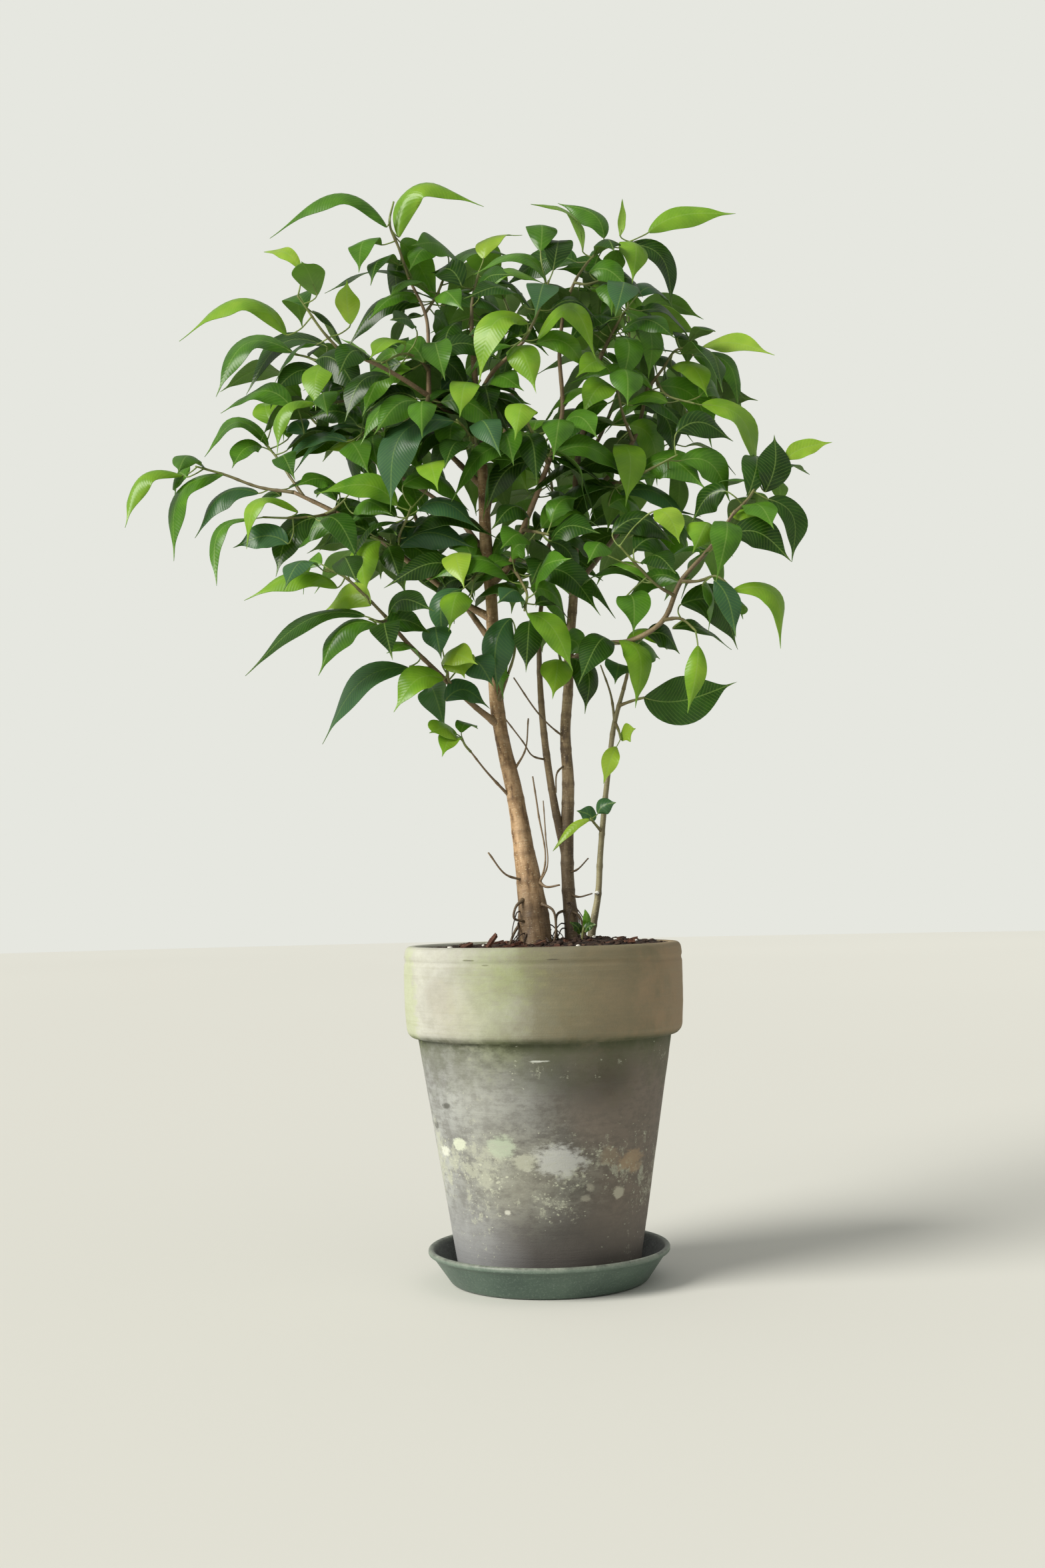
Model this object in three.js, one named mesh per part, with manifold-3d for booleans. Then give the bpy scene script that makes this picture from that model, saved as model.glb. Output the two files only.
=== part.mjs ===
// A young weeping fig (Ficus benjamina) in a weathered clay pot on a dark green saucer.
//
// Millimetres, +Z up. The origin is the centre of the saucer's flat underside, and the front of the
// plant, with its longest limb to the left, faces -Y. The pot is turned clay with a collar, filled with
// soil. Three stems stand in the soil: a tan main trunk, a darker side stem that forks low, and a thin
// one. Their limbs carry leafy sprays, one solid each: a green twig with its leaves fused to it.
import * as THREE from "three";
import { mergeVertices } from "three/addons/utils/BufferGeometryUtils.js";
import Module from "manifold-3d";

const wasm = await Module();
wasm.setup();

// Driving dimensions of the pot, measured on a clay pot of 180 mm across its collar
const RIM_RADIUS = 90;
const RIM_TOP = 214.5;
const COLLAR_BOTTOM = 156;
const BODY_TOP_RADIUS = 81.8;
const BODY_FOOT_RADIUS = 57.6;
const WALL = 8;
const FLOOR = 9;
const DRAIN_RADIUS = 9;
const TURNED_SIDES = 40;

// Driving dimensions of the saucer
const SAUCER_FOOT_RADIUS = 62;
const SAUCER_RIM_RADIUS = 77.5;
const SAUCER_HEIGHT = 22;
const SAUCER_FLOOR = 2.2;

// The clearance left between pieces that touch
const GAP = 0.3;

// Soil: its level at the rim, the mound round the stems, and how deep the stems go into it
const SOIL_LEVEL = 208.5;
const MOUND_HEIGHT = 6.5;
const MOUND_SPREAD = 40;
const STEM_FOOT = 186;

// A full-grown leaf: length of blade and drip tip, half width, and thickness at the midrib
const LEAF_LENGTH = 62;
const LEAF_HALF_WIDTH = 0.205;
const LEAF_THICKNESS = 1.7;
const PETIOLE_LENGTH = 10;
const PETIOLE_RADIUS = 0.8;
const PETIOLE_ROOT = 0.45;
const THINNEST_TWIG = 0.95;
const ARCH = 0.2;
const ARCH_PEAK = 1.05;

// Places below are written as an eye straight in front of the pot sees them against the plane
// through the pot's axis: across, up, and how far behind that plane the thing really stands.
const EYE_DISTANCE = 1201.5;
const EYE_HEIGHT = 245.8;

const UP = new THREE.Vector3(0, 0, 1);
const FRONT = new THREE.Vector3(0, -1, 0);
const CROWN_AXIS = new THREE.Vector3(-15, 15, 0);

function place(across, up, behind = 0) {
  const stretch = (EYE_DISTANCE + behind) / EYE_DISTANCE;
  return new THREE.Vector3(across * stretch, behind, EYE_HEIGHT + (up - EYE_HEIGHT) * stretch);
}

// A number from 0 to 1 that looks random and is the same on every run
function chance(seed, draw) {
  const wave = Math.sin(seed * 12.9898 + draw * 78.233) * 43758.5453;
  return wave - Math.floor(wave);
}

// Solids: closed geometry in, solid out, and back
function solidOf(geometry) {
  const bare = geometry.clone();
  bare.deleteAttribute("normal");
  bare.deleteAttribute("uv");
  const merged = mergeVertices(bare, 1e-4);
  return new wasm.Manifold(
    new wasm.Mesh({
      numProp: 3,
      vertProperties: new Float32Array(merged.attributes.position.array),
      triVerts: new Uint32Array(merged.index.array),
    }),
  );
}

function geometryOf(solid) {
  const mesh = solid.getMesh();
  const geometry = new THREE.BufferGeometry();
  geometry.setAttribute("position", new THREE.BufferAttribute(new Float32Array(mesh.vertProperties), 3));
  geometry.setIndex(new THREE.BufferAttribute(new Uint32Array(mesh.triVerts), 1));
  geometry.computeVertexNormals();
  return geometry;
}

function joined(solids) {
  return solids.length === 1 ? solids[0] : wasm.Manifold.union(solids);
}

// The least height of any triangle of a solid: joining two skins can leave slivers
function leastHeight(solid) {
  const mesh = solid.getMesh();
  const corner = (i) => {
    const start = mesh.triVerts[i] * mesh.numProp;
    return new THREE.Vector3().fromArray(mesh.vertProperties, start);
  };
  let least = Infinity;
  for (let i = 0; i < mesh.triVerts.length; i += 3) {
    const triangle = new THREE.Triangle(corner(i), corner(i + 1), corner(i + 2));
    const longest = Math.max(
      triangle.a.distanceTo(triangle.b), triangle.b.distanceTo(triangle.c), triangle.c.distanceTo(triangle.a),
    );
    least = Math.min(least, (2 * triangle.getArea()) / longest);
  }
  return least;
}

// Tries variants of a join or a cut, told apart by a tiny twist, until one leaves no slivers
const FINE_HEIGHT = 0.009;
const TRIES = 20;
function finest(make) {
  let best = null;
  let height = -1;
  for (let twist = 0; twist < TRIES && height < FINE_HEIGHT; twist++) {
    const made = make(twist);
    const least = leastHeight(made.whole);
    if (least > height) [best, height] = [made, least];
  }
  return best;
}

function largestBody(solid) {
  return solid.decompose().reduce((best, body) => (body.volume() > best.volume() ? body : best));
}

// A closed skin over rings of points, each ring going round the same way; a ring of one point is a tip
function skin(rings) {
  const points = [];
  const faces = [];
  const starts = rings.map((ring) => {
    points.push(...ring.map((p) => [p.x, p.y, p.z]));
    return points.length - ring.length;
  });
  for (let i = 0; i + 1 < rings.length; i++) {
    const sides = Math.max(rings[i].length, rings[i + 1].length);
    for (let j = 0; j < sides; j++) {
      const k = (j + 1) % sides;
      const here = rings[i].length === 1 ? [starts[i]] : [starts[i] + j, starts[i] + k];
      const next = rings[i + 1].length === 1 ? [starts[i + 1]] : [starts[i + 1] + j, starts[i + 1] + k];
      if (here.length === 2) faces.push([here[0], here[1], next[next.length - 1]]);
      if (next.length === 2) faces.push([here[0], next[1], next[0]]);
    }
  }
  const last = rings.length - 1;
  for (let j = 1; j + 1 < rings[0].length; j++) faces.push([starts[0], starts[0] + j + 1, starts[0] + j]);
  for (let j = 1; j + 1 < rings[last].length; j++) faces.push([starts[last], starts[last] + j, starts[last] + j + 1]);
  const geometry = new THREE.BufferGeometry();
  geometry.setAttribute("position", new THREE.BufferAttribute(new Float32Array(points.flat()), 3));
  geometry.setIndex(faces.flat());
  return geometry;
}

// A tapering branch: route points are [across, up, behind, radius]
function branchCurve(route) {
  return new THREE.CatmullRomCurve3(route.map(([across, up, behind]) => place(across, up, behind)));
}

// The middle line of a twig as it is built, straight from route point to route point
function twigPoint(route, share) {
  const leg = Math.min(Math.floor(share * (route.length - 1)), route.length - 2);
  const part = share * (route.length - 1) - leg;
  const [from, to] = [route[leg], route[leg + 1]].map(([across, up, behind]) => place(across, up, behind));
  return from.lerp(to, part);
}

const TWIST = 0.13;
function branch(route, { sides, steps = 1, swell = 0, thinnest = 0, twist = 0 }) {
  const curve = branchCurve(route);
  const count = (route.length - 1) * steps;
  const rings = [];
  let side = new THREE.Vector3(1, 0.13, 0.07);
  for (let i = 0; i <= count; i++) {
    const t = i / count;
    const centre = curve.getPoint(t);
    const along = curve.getTangent(t);
    side = side.clone().addScaledVector(along, -side.dot(along)).normalize();
    const other = along.clone().cross(side);
    const leg = Math.min(Math.floor(t * (route.length - 1)), route.length - 2);
    const share = t * (route.length - 1) - leg;
    const radius = Math.max(route[leg][3] * (1 - share) + route[leg + 1][3] * share, thinnest) + swell;
    rings.push(
      Array.from({ length: sides }, (_, j) => {
        const angle = (2 * Math.PI * j) / sides + TWIST * twist;
        return centre
          .clone()
          .addScaledVector(side, radius * Math.cos(angle))
          .addScaledVector(other, radius * Math.sin(angle));
      }),
    );
  }
  return solidOf(skin(rings));
}

// The half width of a blade at a share of its length: an oval that ends in a long drip tip
function halfWidth(t, full) {
  const oval = t < 0.88 ? Math.pow(Math.sin(Math.PI * Math.pow(t / 0.88, 0.82)), 0.85) : 0;
  return Math.max(oval * full, 0.9 * Math.min(1, (1 - t) / 0.14));
}

// The midrib of an arched leaf, from the blade's base to its tip
function midrib(leaf, t) {
  const lift = 4 * t * (1 - t) * (1.5 - t) * leaf.arch;
  return leaf.base.clone().addScaledVector(leaf.chord, t).addScaledVector(leaf.bulge, lift);
}

// One leaf as a closed solid: petiole, blade with its midrib as a keel underneath, drip tip
const STATIONS = [0, 0.28, 0.68];
function leafSolid(leaf, { grow = 0, twist = 0 } = {}) {
  const rings = [];
  const ring = (centre, along, half, thick, wave, turn = 0) => {
    const face = leaf.face.clone().addScaledVector(along, -leaf.face.dot(along)).normalize();
    face.applyAxisAngle(along, turn);
    const across = face.clone().cross(along);
    return [
      centre.clone().addScaledVector(across, half).addScaledVector(face, thick / 3 + wave),
      centre.clone().addScaledVector(across, -half).addScaledVector(face, thick / 3 - wave),
      centre.clone().addScaledVector(face, (-2 * thick) / 3),
    ];
  };
  const stalk = leaf.base.clone().sub(leaf.root).normalize();
  rings.push(ring(leaf.root.clone(), stalk, PETIOLE_ROOT + grow, 2 * PETIOLE_ROOT + 2 * grow, 0, TWIST * twist));
  for (const t of STATIONS) {
    const along = midrib(leaf, t + 0.01).sub(midrib(leaf, Math.max(t - 0.01, 0))).normalize();
    const half = t === 0 ? PETIOLE_RADIUS : halfWidth(t, leaf.half);
    const wave = t === 0 ? 0 : leaf.wave * Math.sin(7 * t + leaf.phase);
    rings.push(ring(midrib(leaf, t), along, half + grow, LEAF_THICKNESS + 2 * grow, wave));
  }
  rings.push([midrib(leaf, 1).addScaledVector(leaf.chord.clone().normalize(), grow)]);
  return solidOf(skin(rings));
}

// Works out one leaf from its root on the twig, its blade's base and its tip
function shapeLeaf(root, base, tip, size, facing, seed) {
  const chord = tip.clone().sub(base);
  const length = chord.length();
  const direction = chord.clone().normalize();
  const outward = base.clone().sub(CROWN_AXIS).setZ(0).normalize();
  const bulge = UP.clone().addScaledVector(outward, 0.35);
  bulge.addScaledVector(direction, -bulge.dot(direction)).normalize();
  const turn = (facing.turn * Math.PI) / 180;
  const towards = facing.towards.clone().addScaledVector(direction, -facing.towards.dot(direction));
  const face = bulge.clone().multiplyScalar(Math.cos(turn)).addScaledVector(towards, Math.sin(turn)).normalize();
  return {
    root,
    base,
    tip,
    chord,
    bulge,
    face,
    arch: length * ARCH * (0.75 + 0.5 * chance(seed, 1)),
    half: Math.max(length, 0.9 * LEAF_LENGTH * size) * LEAF_HALF_WIDTH * (0.9 + 0.2 * chance(seed, 2)),
    wave: 1.6 * (chance(seed, 3) - 0.5),
    phase: 6 * chance(seed, 4),
  };
}

// Bends that a leaf may take to stay clear of its neighbours: along its swing, and up
const BENDS = [
  [0, 0], [7, 1], [-7, -1], [14, 2], [-14, -2], [21, -3], [-21, 3], [28, 4], [-28, -4],
  [10, 9], [-10, 9], [18, -9], [-18, -9], [36, 6], [-36, 6], [44, -7], [-44, -7], [30, 14], [-30, 14],
];

const routesOf = (spray) => (spray.side ? [spray.route, spray.side] : [spray.route]);

// Where each leaf of a seen spray grows from its twig: about a petiole's length from the blade's base,
// and not where another leaf of the spray grows already
const ROOT_SAMPLES = 21;
const ROOT_SPACING = 2.4;
function rootsOf(spray) {
  const places = routesOf(spray).flatMap((route) =>
    Array.from({ length: ROOT_SAMPLES }, (_, i) => twigPoint(route, 0.2 + (0.78 * i) / (ROOT_SAMPLES - 1))),
  );
  const stalk = 0.8 * PETIOLE_LENGTH * Math.min(spray.size ?? 1, 1);
  const taken = [];
  for (const [across, up] of spray.leaves) {
    let best = null;
    let least = Infinity;
    for (const root of places) {
      const crowded = taken.some((other) => other.distanceTo(root) < ROOT_SPACING);
      const miss = Math.abs(root.distanceTo(place(across, up, root.y)) - stalk) + (crowded ? 20 : 0);
      if (miss < least) [best, least] = [root, miss];
    }
    taken.push(best);
  }
  return taken;
}

// A leaf whose blade is seen in front: base and tip are places as the eye sees them
function seenLeaf(spray, root, [baseAcross, baseUp, tipAcross, tipUp, lean, rise], index, seed, bend) {
  const size = spray.size ?? 1;
  const flat = Math.hypot(tipAcross - baseAcross, tipUp - baseUp);
  const full = LEAF_LENGTH * size * (0.84 + 0.16 * chance(seed, 6));
  const depth = Math.sqrt(Math.max(full * full - flat * flat, 0)) * (lean ?? (index % 2 ? 0.25 : -0.85));
  const behind = root.y + 3 * (chance(seed, 7) - 0.5) + 0.4 * bend[0];
  const base = place(baseAcross, baseUp, behind);
  const tip = place(tipAcross, tipUp + bend[1], behind + depth + 0.6 * bend[0]);
  // An arched leaf is seen more from its side, so that its crest shows
  const turn = (rise ? 18 : 30) + (rise ? 26 : 45) * chance(seed, 8);
  const leaf = shapeLeaf(root, base, tip, size, { towards: FRONT, turn }, seed);
  return rise ? { ...leaf, arch: rise / ARCH_PEAK } : leaf;
}

// A leaf of the hidden side, placed by rule: evenly along the twig, in two ranks, drooping
function ruledLeaf(spray, index, seed, bend) {
  const share = 0.3 + (0.68 * index) / (spray.count - 1);
  const root = twigPoint(spray.route, share);
  const along = twigPoint(spray.route, share + 0.01).sub(twigPoint(spray.route, share - 0.01)).normalize();
  const rank = index % 2 ? 1 : -1;
  const last = index === spray.count - 1;
  const sideways = along.clone().cross(UP).normalize().multiplyScalar(last ? 0 : rank);
  const droop = -0.15 - 0.75 * chance(seed, 6);
  const reach = along.clone().multiplyScalar(0.5).addScaledVector(sideways, 0.85).addScaledVector(UP, droop);
  const swing = along.clone().cross(UP).normalize();
  const stalk = along.clone().multiplyScalar(0.6).addScaledVector(sideways, 0.6).addScaledVector(UP, 0.25);
  const base = root.clone().addScaledVector(stalk.normalize(), PETIOLE_LENGTH).addScaledVector(swing, 0.3 * bend[0]);
  const length = 0.9 * LEAF_LENGTH * (0.8 + 0.3 * chance(seed, 7));
  const tip = base.clone().addScaledVector(reach.normalize(), length);
  tip.addScaledVector(swing, 0.7 * bend[0]).addScaledVector(UP, bend[1]);
  const towards = root.clone().sub(CROWN_AXIS).setZ(0).normalize();
  return shapeLeaf(root, base, tip, 1, { towards, turn: 10 + 40 * chance(seed, 8) }, seed);
}

// The main trunk and its limbs. Each route point is [across, up, behind, radius].
const TRUNK_ROUTE = [
  [-4, STEM_FOOT, -4, 11.5], [-4.5, 217, -4, 10.6], [-7, 248, -3, 8.6], [-11, 277, -2, 6.6], [-14, 300, -1, 5.7],
  [-18.5, 325, 0, 5.2], [-23, 346, 1, 4.6], [-26, 368, 2, 4.7], [-28, 400, 3, 4.1], [-28.5, 440, 4, 3.9],
  [-31, 470, 5, 4.2], [-32, 500, 6, 3.7], [-33, 535, 6, 3.2], [-36, 580, 5, 2.3], [-38, 622, 4, 1.4],
];
const TRUNK_LIMBS = [
  [[-27, 356, 1, 2.6], [-40, 369, -9, 1.8], [-67, 395, -34, 1.5], [-88, 417, -50, 1.3], [-98, 430, -55, 1.1]],
  [[-29, 427, 4, 2.8], [-45, 437, 8, 2.0], [-75, 460, 14, 1.8], [-103, 483, 18, 1.8], [-130, 500, 22, 1.6],
    [-157, 514, 26, 1.2]],
  [[-33, 543, 6, 2.4], [-50, 561, -8, 1.8], [-67, 576, -24, 1.7], [-97, 596, -40, 1.3], [-127, 610, -50, 0.95]],
  [[-66, 575, -24, 1.6], [-67, 600, -14, 1.3], [-68, 630, 0, 1.1], [-79, 656, 12, 0.9]],
  [[-32, 515, 6, 2.2], [-68, 548, 28, 1.5], [-98, 563, 36, 1.3], [-121, 583, 34, 1.1], [-136, 599, 30, 0.9]],
  [[-29, 450, 4, 2.8], [-17, 461, -7, 2.3], [-6, 488, -18, 1.9], [6, 517, -24, 1.7], [20, 558, -22, 1.5],
    [20, 605, -8, 1.3], [24, 637, 6, 1.1]],
  [[-36, 572, 5, 2.0], [-24, 592, -8, 1.4], [-12, 603, -20, 1.2], [-3, 612, -26, 1.0]],
  [[-28, 410, 4, 2.2], [-48, 440, 36, 1.7], [-72, 480, 64, 1.4], [-84, 520, 84, 1.1]],
  [[-32, 492, 6, 2.2], [-24, 525, 40, 1.7], [-14, 565, 68, 1.4], [-8, 602, 84, 1.1]],
  [[-31, 470, 5, 2.0], [-55, 500, 30, 1.5], [-95, 528, 52, 1.2], [-128, 548, 62, 1.0]],
];
const TRUNK_TWIGS = [
  [[-20, 311, -2, 1.3], [-35, 328, -12, 0.8], [-44, 340, -18, 0.7]],
  [[-13, 256, -8, 1.0], [-22, 259, -13, 0.8], [-34, 274, -18, 0.7]],
  [[-1, 254, -8, 1.0], [2, 262, -10, 0.75], [-1, 300, -12, 0.7], [-4, 323, -12, 0.6]],
  [[-15, 329, -1, 1.1], [-9, 339, -6, 0.7], [-6, 361, -9, 0.6]],
];
const TRUNK_ROOTS = [
  [[-12, 243, -10, 1.2], [-17, 238, -14, 0.8], [-18, 231, -14, 0.8], [-12, 229, -12, 0.9]],
  [[-12, 230, -4, 1.2], [-18, 222, -10, 0.9], [-22, 212, -13, 0.8]],
  [[0, 240, -10, 1.1], [7, 236, -14, 0.8], [9, 225, -14, 0.8], [7, 212, -13, 0.8]],
  [[-4, 253, -6, 1.0], [3, 251, -12, 0.8], [12, 252, -15, 0.6]],
];

// The darker side stem, which forks 60 mm above the soil, with its limbs
const SIDE_STEM_ROUTE = [
  [19, STEM_FOOT, 9, 5.6], [19.5, 219, 9, 5.0], [17.5, 250, 9, 4.2], [17.5, 283, 9, 4.2], [19, 320, 9, 3.9],
  [18, 353, 9, 3.4], [20.5, 380, 9, 3.3], [22, 410, 8, 3.2], [25, 437, 7, 3.0], [26.5, 465, 6, 2.7],
  [28, 497, 5, 2.4], [30, 530, 7, 2.0], [38, 565, 8, 1.6], [48, 603, 6, 1.2],
];
const FORK_ROUTE = [
  [16, 270, 9, 3.0], [12, 292, 8, 2.2], [8, 316, 7, 1.9], [5, 340, 6, 1.8], [3, 365, 5, 1.6], [2, 392, 6, 1.4],
  [3, 425, 18, 1.2], [8, 460, 34, 1.1], [14, 500, 52, 1.0],
];
const SIDE_LIMBS = [
  [[21, 398, 8, 2.0], [40, 408, 0, 1.7], [63, 411, -18, 1.6], [84, 424, -36, 1.6], [96, 449, -46, 1.5],
    [115, 470, -48, 1.2], [133, 495, -46, 1.0]],
  [[28, 498, 5, 1.9], [46, 515, 4, 1.5], [68, 545, 8, 1.4], [77, 577, 14, 1.2]],
  [[25, 445, 7, 1.8], [46, 470, 38, 1.5], [72, 505, 66, 1.2], [90, 535, 80, 1.0]],
  [[29, 520, 6, 1.7], [46, 548, 38, 1.3], [62, 585, 62, 1.1]],
];
const SIDE_TWIGS = [
  [[5.7, 333, 6.3, 1.0], [-3, 336, -2, 0.7], [-10, 346, -16, 0.6], [-21, 361, -22, 0.6]],
  [[16, 348, 8, 0.9], [9, 355, 0, 0.7], [0, 365, -14, 0.7], [-15, 388, -26, 0.6]],
  [[17, 331, 8, 0.9], [12, 325, 2, 0.7], [11, 312, 0, 0.6]],
  [[18, 260, 6, 1.0], [24, 262, 1, 0.7], [31, 269, -3, 0.6]],
  [[18, 247, 7, 1.1], [24, 244, 1, 0.8], [33, 246, -3, 0.6]],
];
const SIDE_ROOTS = [
  [[18, 236, 6, 1.1], [10, 233, 3, 0.8], [9, 224, 3, 0.8], [11, 212, 4, 0.8]],
  [[19, 235, 6, 1.1], [24, 232, 2, 0.8], [27, 222, 1, 0.8], [29, 211, 0, 0.8]],
];

// The thin grey stem on the right, which forks near the crown
const THIN_STEM_ROUTE = [
  [31, STEM_FOOT, -3, 2.9], [32, 220, -3, 2.6], [36.5, 243, -2, 2.1], [39, 273, -1, 1.9], [42, 300, 0, 1.8],
  [46, 330, 1, 1.7], [50, 356, 1, 1.6], [57, 380, 0, 1.2],
];
const THIN_STEM_TWIGS = [
  [[50.5, 358, 1, 1.2], [48.5, 374, 3, 0.9], [42, 395, 4, 0.6]],
];

// Leafy sprays. route: [across, up, behind, radius] from the limb outwards. leaves: [base across, base up,
// tip across, tip up, at times how the tip leans: -1 wholly to the front, 1 wholly to the back, and at times
// how high the blade's crest stands over the straight line from base to tip].
const SPRAYS = [
  { name: "spray_top_left", route: [[-79, 655, 12, 0.9], [-85, 676, 8, 0.9], [-91, 694, 4, 0.8], [-88, 708, 2, 0.6]],
    leaves: [[-93, 691, -171, 685, -0.85, 24], [-85, 684, -28, 703, 0.25, 28], [-97, 679, -112, 660, -0.8], [-76, 651, -135, 645, 0.25, 12]] },
  { name: "spray_top_crest", route: [[-69, 632, 0, 1.0], [-61, 643, 14, 0.9], [-53, 662, 24, 0.8]],
    leaves: [[-61, 640, -108, 625, -0.85, 14], [-53, 671, -79, 660, -0.5], [-45, 664, -77, 678], [-50, 654, -4, 666, 0.25, 15]] },
  { name: "spray_trunk_top", route: [[-38, 620, 4, 1.4], [-37, 640, 10, 1.0], [-32, 660, 16, 0.7]],
    leaves: [[-29, 668, -3, 684, 0.5], [-45, 626, -55, 588, -0.4], [-41, 619, -31, 603, 0.4], [-44, 650, -64, 668, 0.6]] },
  { name: "spray_middle_top", route: [[-3, 611, -26, 1.0], [5, 628, -30, 0.9], [14, 652, -30, 0.8]],
    side: [[-1, 615, -27, 0.9], [-4, 613, -38, 0.8], [1, 619, -46, 0.7]],
    leaves: [[12, 652, -36, 657, -0.2, 14], [-3, 635, -43, 641, -0.6, 10], [17, 659, 21, 678, 0.7], [9, 672, 7, 685, 0.8],
      [11, 643, 4, 628, -0.8], [-1, 624, -34, 583, -0.5, 19], [6, 613, 44, 598, -0.3, 24], [-15, 604, 4, 576, -0.5]] },
  { name: "spray_right_top", route: [[24, 635, 6, 1.1], [35, 657, 10, 0.9], [48, 671, 14, 0.8], [70, 677, 18, 0.7]],
    side: [[31, 650, 8, 0.9], [40, 649, -6, 0.8], [53, 653, -16, 0.7]],
    leaves: [[37, 671, 3, 704, -0.85, 14], [51, 680, 21, 704, 0.3], [62, 681, 64, 706, -0.3], [81, 683, 139, 695, 0.25, 11],
      [68, 675, 95, 632, -0.2, 11], [62, 673, 69, 648, -0.6], [41, 657, 66, 646, -0.2], [46, 646, 55, 627, -0.4],
      [62, 645, 57, 627, -0.8], [58, 650, 76, 637, 0.3]] },
  { name: "spray_side_top", route: [[47, 600, 6, 1.3], [57, 619, 10, 1.0], [66, 633, 14, 0.7]],
    leaves: [[64, 630, 78, 583, -0.2], [75, 630, 109, 605, 0.25, 9], [72, 640, 96, 634, 0.4], [60, 613, 60, 579, -0.5],
      [38, 618, 25, 599, 0.3], [52, 622, 42, 600, 0.5]] },
  { name: "spray_right_arm", route: [[77, 576, 14, 1.2], [88, 591, 16, 0.9], [97, 603, 18, 0.8], [110, 605, 20, 0.6]],
    side: [[83, 584, 15, 0.9], [90, 573, 0, 0.8], [108, 567, -14, 0.7]],
    leaves: [[115, 605, 162, 598, -0.85, 9], [94, 592, 117, 571, -0.6], [116, 600, 137, 562, 0.2], [98, 611, 104, 588, 0.7],
      [84, 579, 119, 536, -0.3], [113, 566, 147, 513, 0.25, 12], [83, 563, 93, 531, 0.3], [112, 572, 128, 560, 0.6]] },
  { name: "spray_inner_right", route: [[66, 542, 8, 1.2], [61, 560, -6, 1.0], [57, 580, -18, 0.8]],
    leaves: [[56, 578, 33, 560, -0.4], [52, 591, 30, 586, -0.4], [58, 590, 64, 566, -0.6], [56, 541, 61, 501, -0.5]] },
  { name: "spray_right_middle", route: [[46, 514, 4, 1.3], [60, 516, -12, 1.0], [80, 525, -26, 0.8], [96, 533, -34, 0.6]],
    leaves: [[66, 516, 116, 508, -0.85, 18], [98, 529, 130, 500], [96, 548, 133, 541, 0.2], [58, 508, 104, 478, -0.3, 12],
      [50, 500, 73, 492, 0.4]] },
  { name: "spray_hanging", route: [[92, 438, -45, 1.2], [80, 447, -56, 0.9], [66, 462, -64, 0.8], [56, 474, -68, 0.6]],
    leaves: [[80, 496, 96, 474, -0.3], [52, 482, 93, 472], [66, 471, 92, 467, 0.5], [70, 462, 93, 455, -0.4],
      [46, 470, 35, 462, -0.5], [60, 440, 64, 414, -0.5]] },
  { name: "spray_right_tip", route: [[132, 493, -46, 1.1], [142, 503, -44, 0.9], [149, 514, -40, 0.8], [162, 526, -36, 0.6]],
    leaves: [[167, 528, 198, 539, 0.1], [153, 507, 160, 545, 0.2], [142, 505, 146, 532, 0.6], [155, 502, 169, 460],
      [138, 497, 158, 482, -0.6], [135, 494, 140, 480, -0.5], [127, 508, 104, 489, 0.4]] },
  { name: "spray_right_elbow", route: [[114, 468, -48, 1.1], [121, 474, -58, 0.9], [126, 484, -66, 0.7]],
    leaves: [[124, 487, 119, 448, -0.6], [128, 478, 169, 460, -0.1], [116, 484, 104, 466, -0.6]] },
  { name: "spray_right_low", route: [[96, 449, -46, 1.3], [108, 449, -56, 0.9], [119, 452, -62, 0.8], [129, 444, -66, 0.6]],
    leaves: [[118, 449, 131, 411, -0.3], [130, 442, 160, 403], [110, 446, 113, 415, 0.4], [125, 436, 136, 423, 0.6]] },
  { name: "spray_right_shade", route: [[84, 423, -36, 1.3], [96, 424, -50, 0.9], [105, 416, -60, 0.7]],
    leaves: [[96, 434, 132, 397, -0.2], [90, 418, 128, 401, 0.4], [106, 406, 98, 362, -0.2]] },
  { name: "spray_thin_top", route: [[56.5, 379, 0, 1.2], [60, 392, -7, 0.9], [61, 408, -14, 0.7]],
    leaves: [[55, 411, 64, 367, -0.3], [60, 412, 86, 407, -0.5], [64, 401, 81, 398, 0.5], [52, 393, 51, 382, -0.7],
      [48, 411, 27, 391, -0.4], [73, 414, 94, 405, 0.6]] },
  { name: "spray_thin_side", route: [[53, 368, 0, 1.2], [62, 371, -8, 0.9], [70, 373, -14, 0.8]], broad: 1.45,
    leaves: [[70, 373, 131, 384, -0.3]] },
  { name: "spray_thin_young", route: [[50.5, 358, 1, 1.2], [53, 351, -6, 0.8], [54, 346, -9, 0.7]], size: 0.5,
    leaves: [[55, 345, 64, 353, -0.3], [51, 341, 42, 317, -0.2]] },
  { name: "spray_thin_low", route: [[40.3, 286, 0, 1.1], [36, 291, -6, 0.8], [33, 295, -10, 0.7]], size: 0.45,
    leaves: [[32, 294, 8, 274, -0.2], [35, 293, 24, 298, -0.4], [38, 298, 50, 305, -0.2]] },
  { name: "spray_side_low", route: [[20.8, 383, 9, 1.4], [17, 394, -4, 1.0], [15, 403, -12, 0.8]],
    leaves: [[23, 400, 31, 363, -0.2], [12, 398, 10, 373, -0.7], [20, 412, 30, 398, 0.4]] },
  { name: "spray_heart", route: [[-15, 463, -8, 1.4], [-9, 452, -24, 1.0], [-5, 441, -36, 0.8], [-7, 432, -42, 0.7]],
    leaves: [[-5, 430, 24, 391, -0.4, 8], [1, 445, 25, 466, -0.5], [-8, 434, -25, 437, -0.6], [8, 462, -2, 446, -0.7],
      [-14, 466, -2, 478, -0.3]] },
  { name: "spray_heart_side", route: [[-7, 486, -17, 1.4], [1, 484, -34, 1.0], [10, 482, -46, 0.8]],
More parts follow.
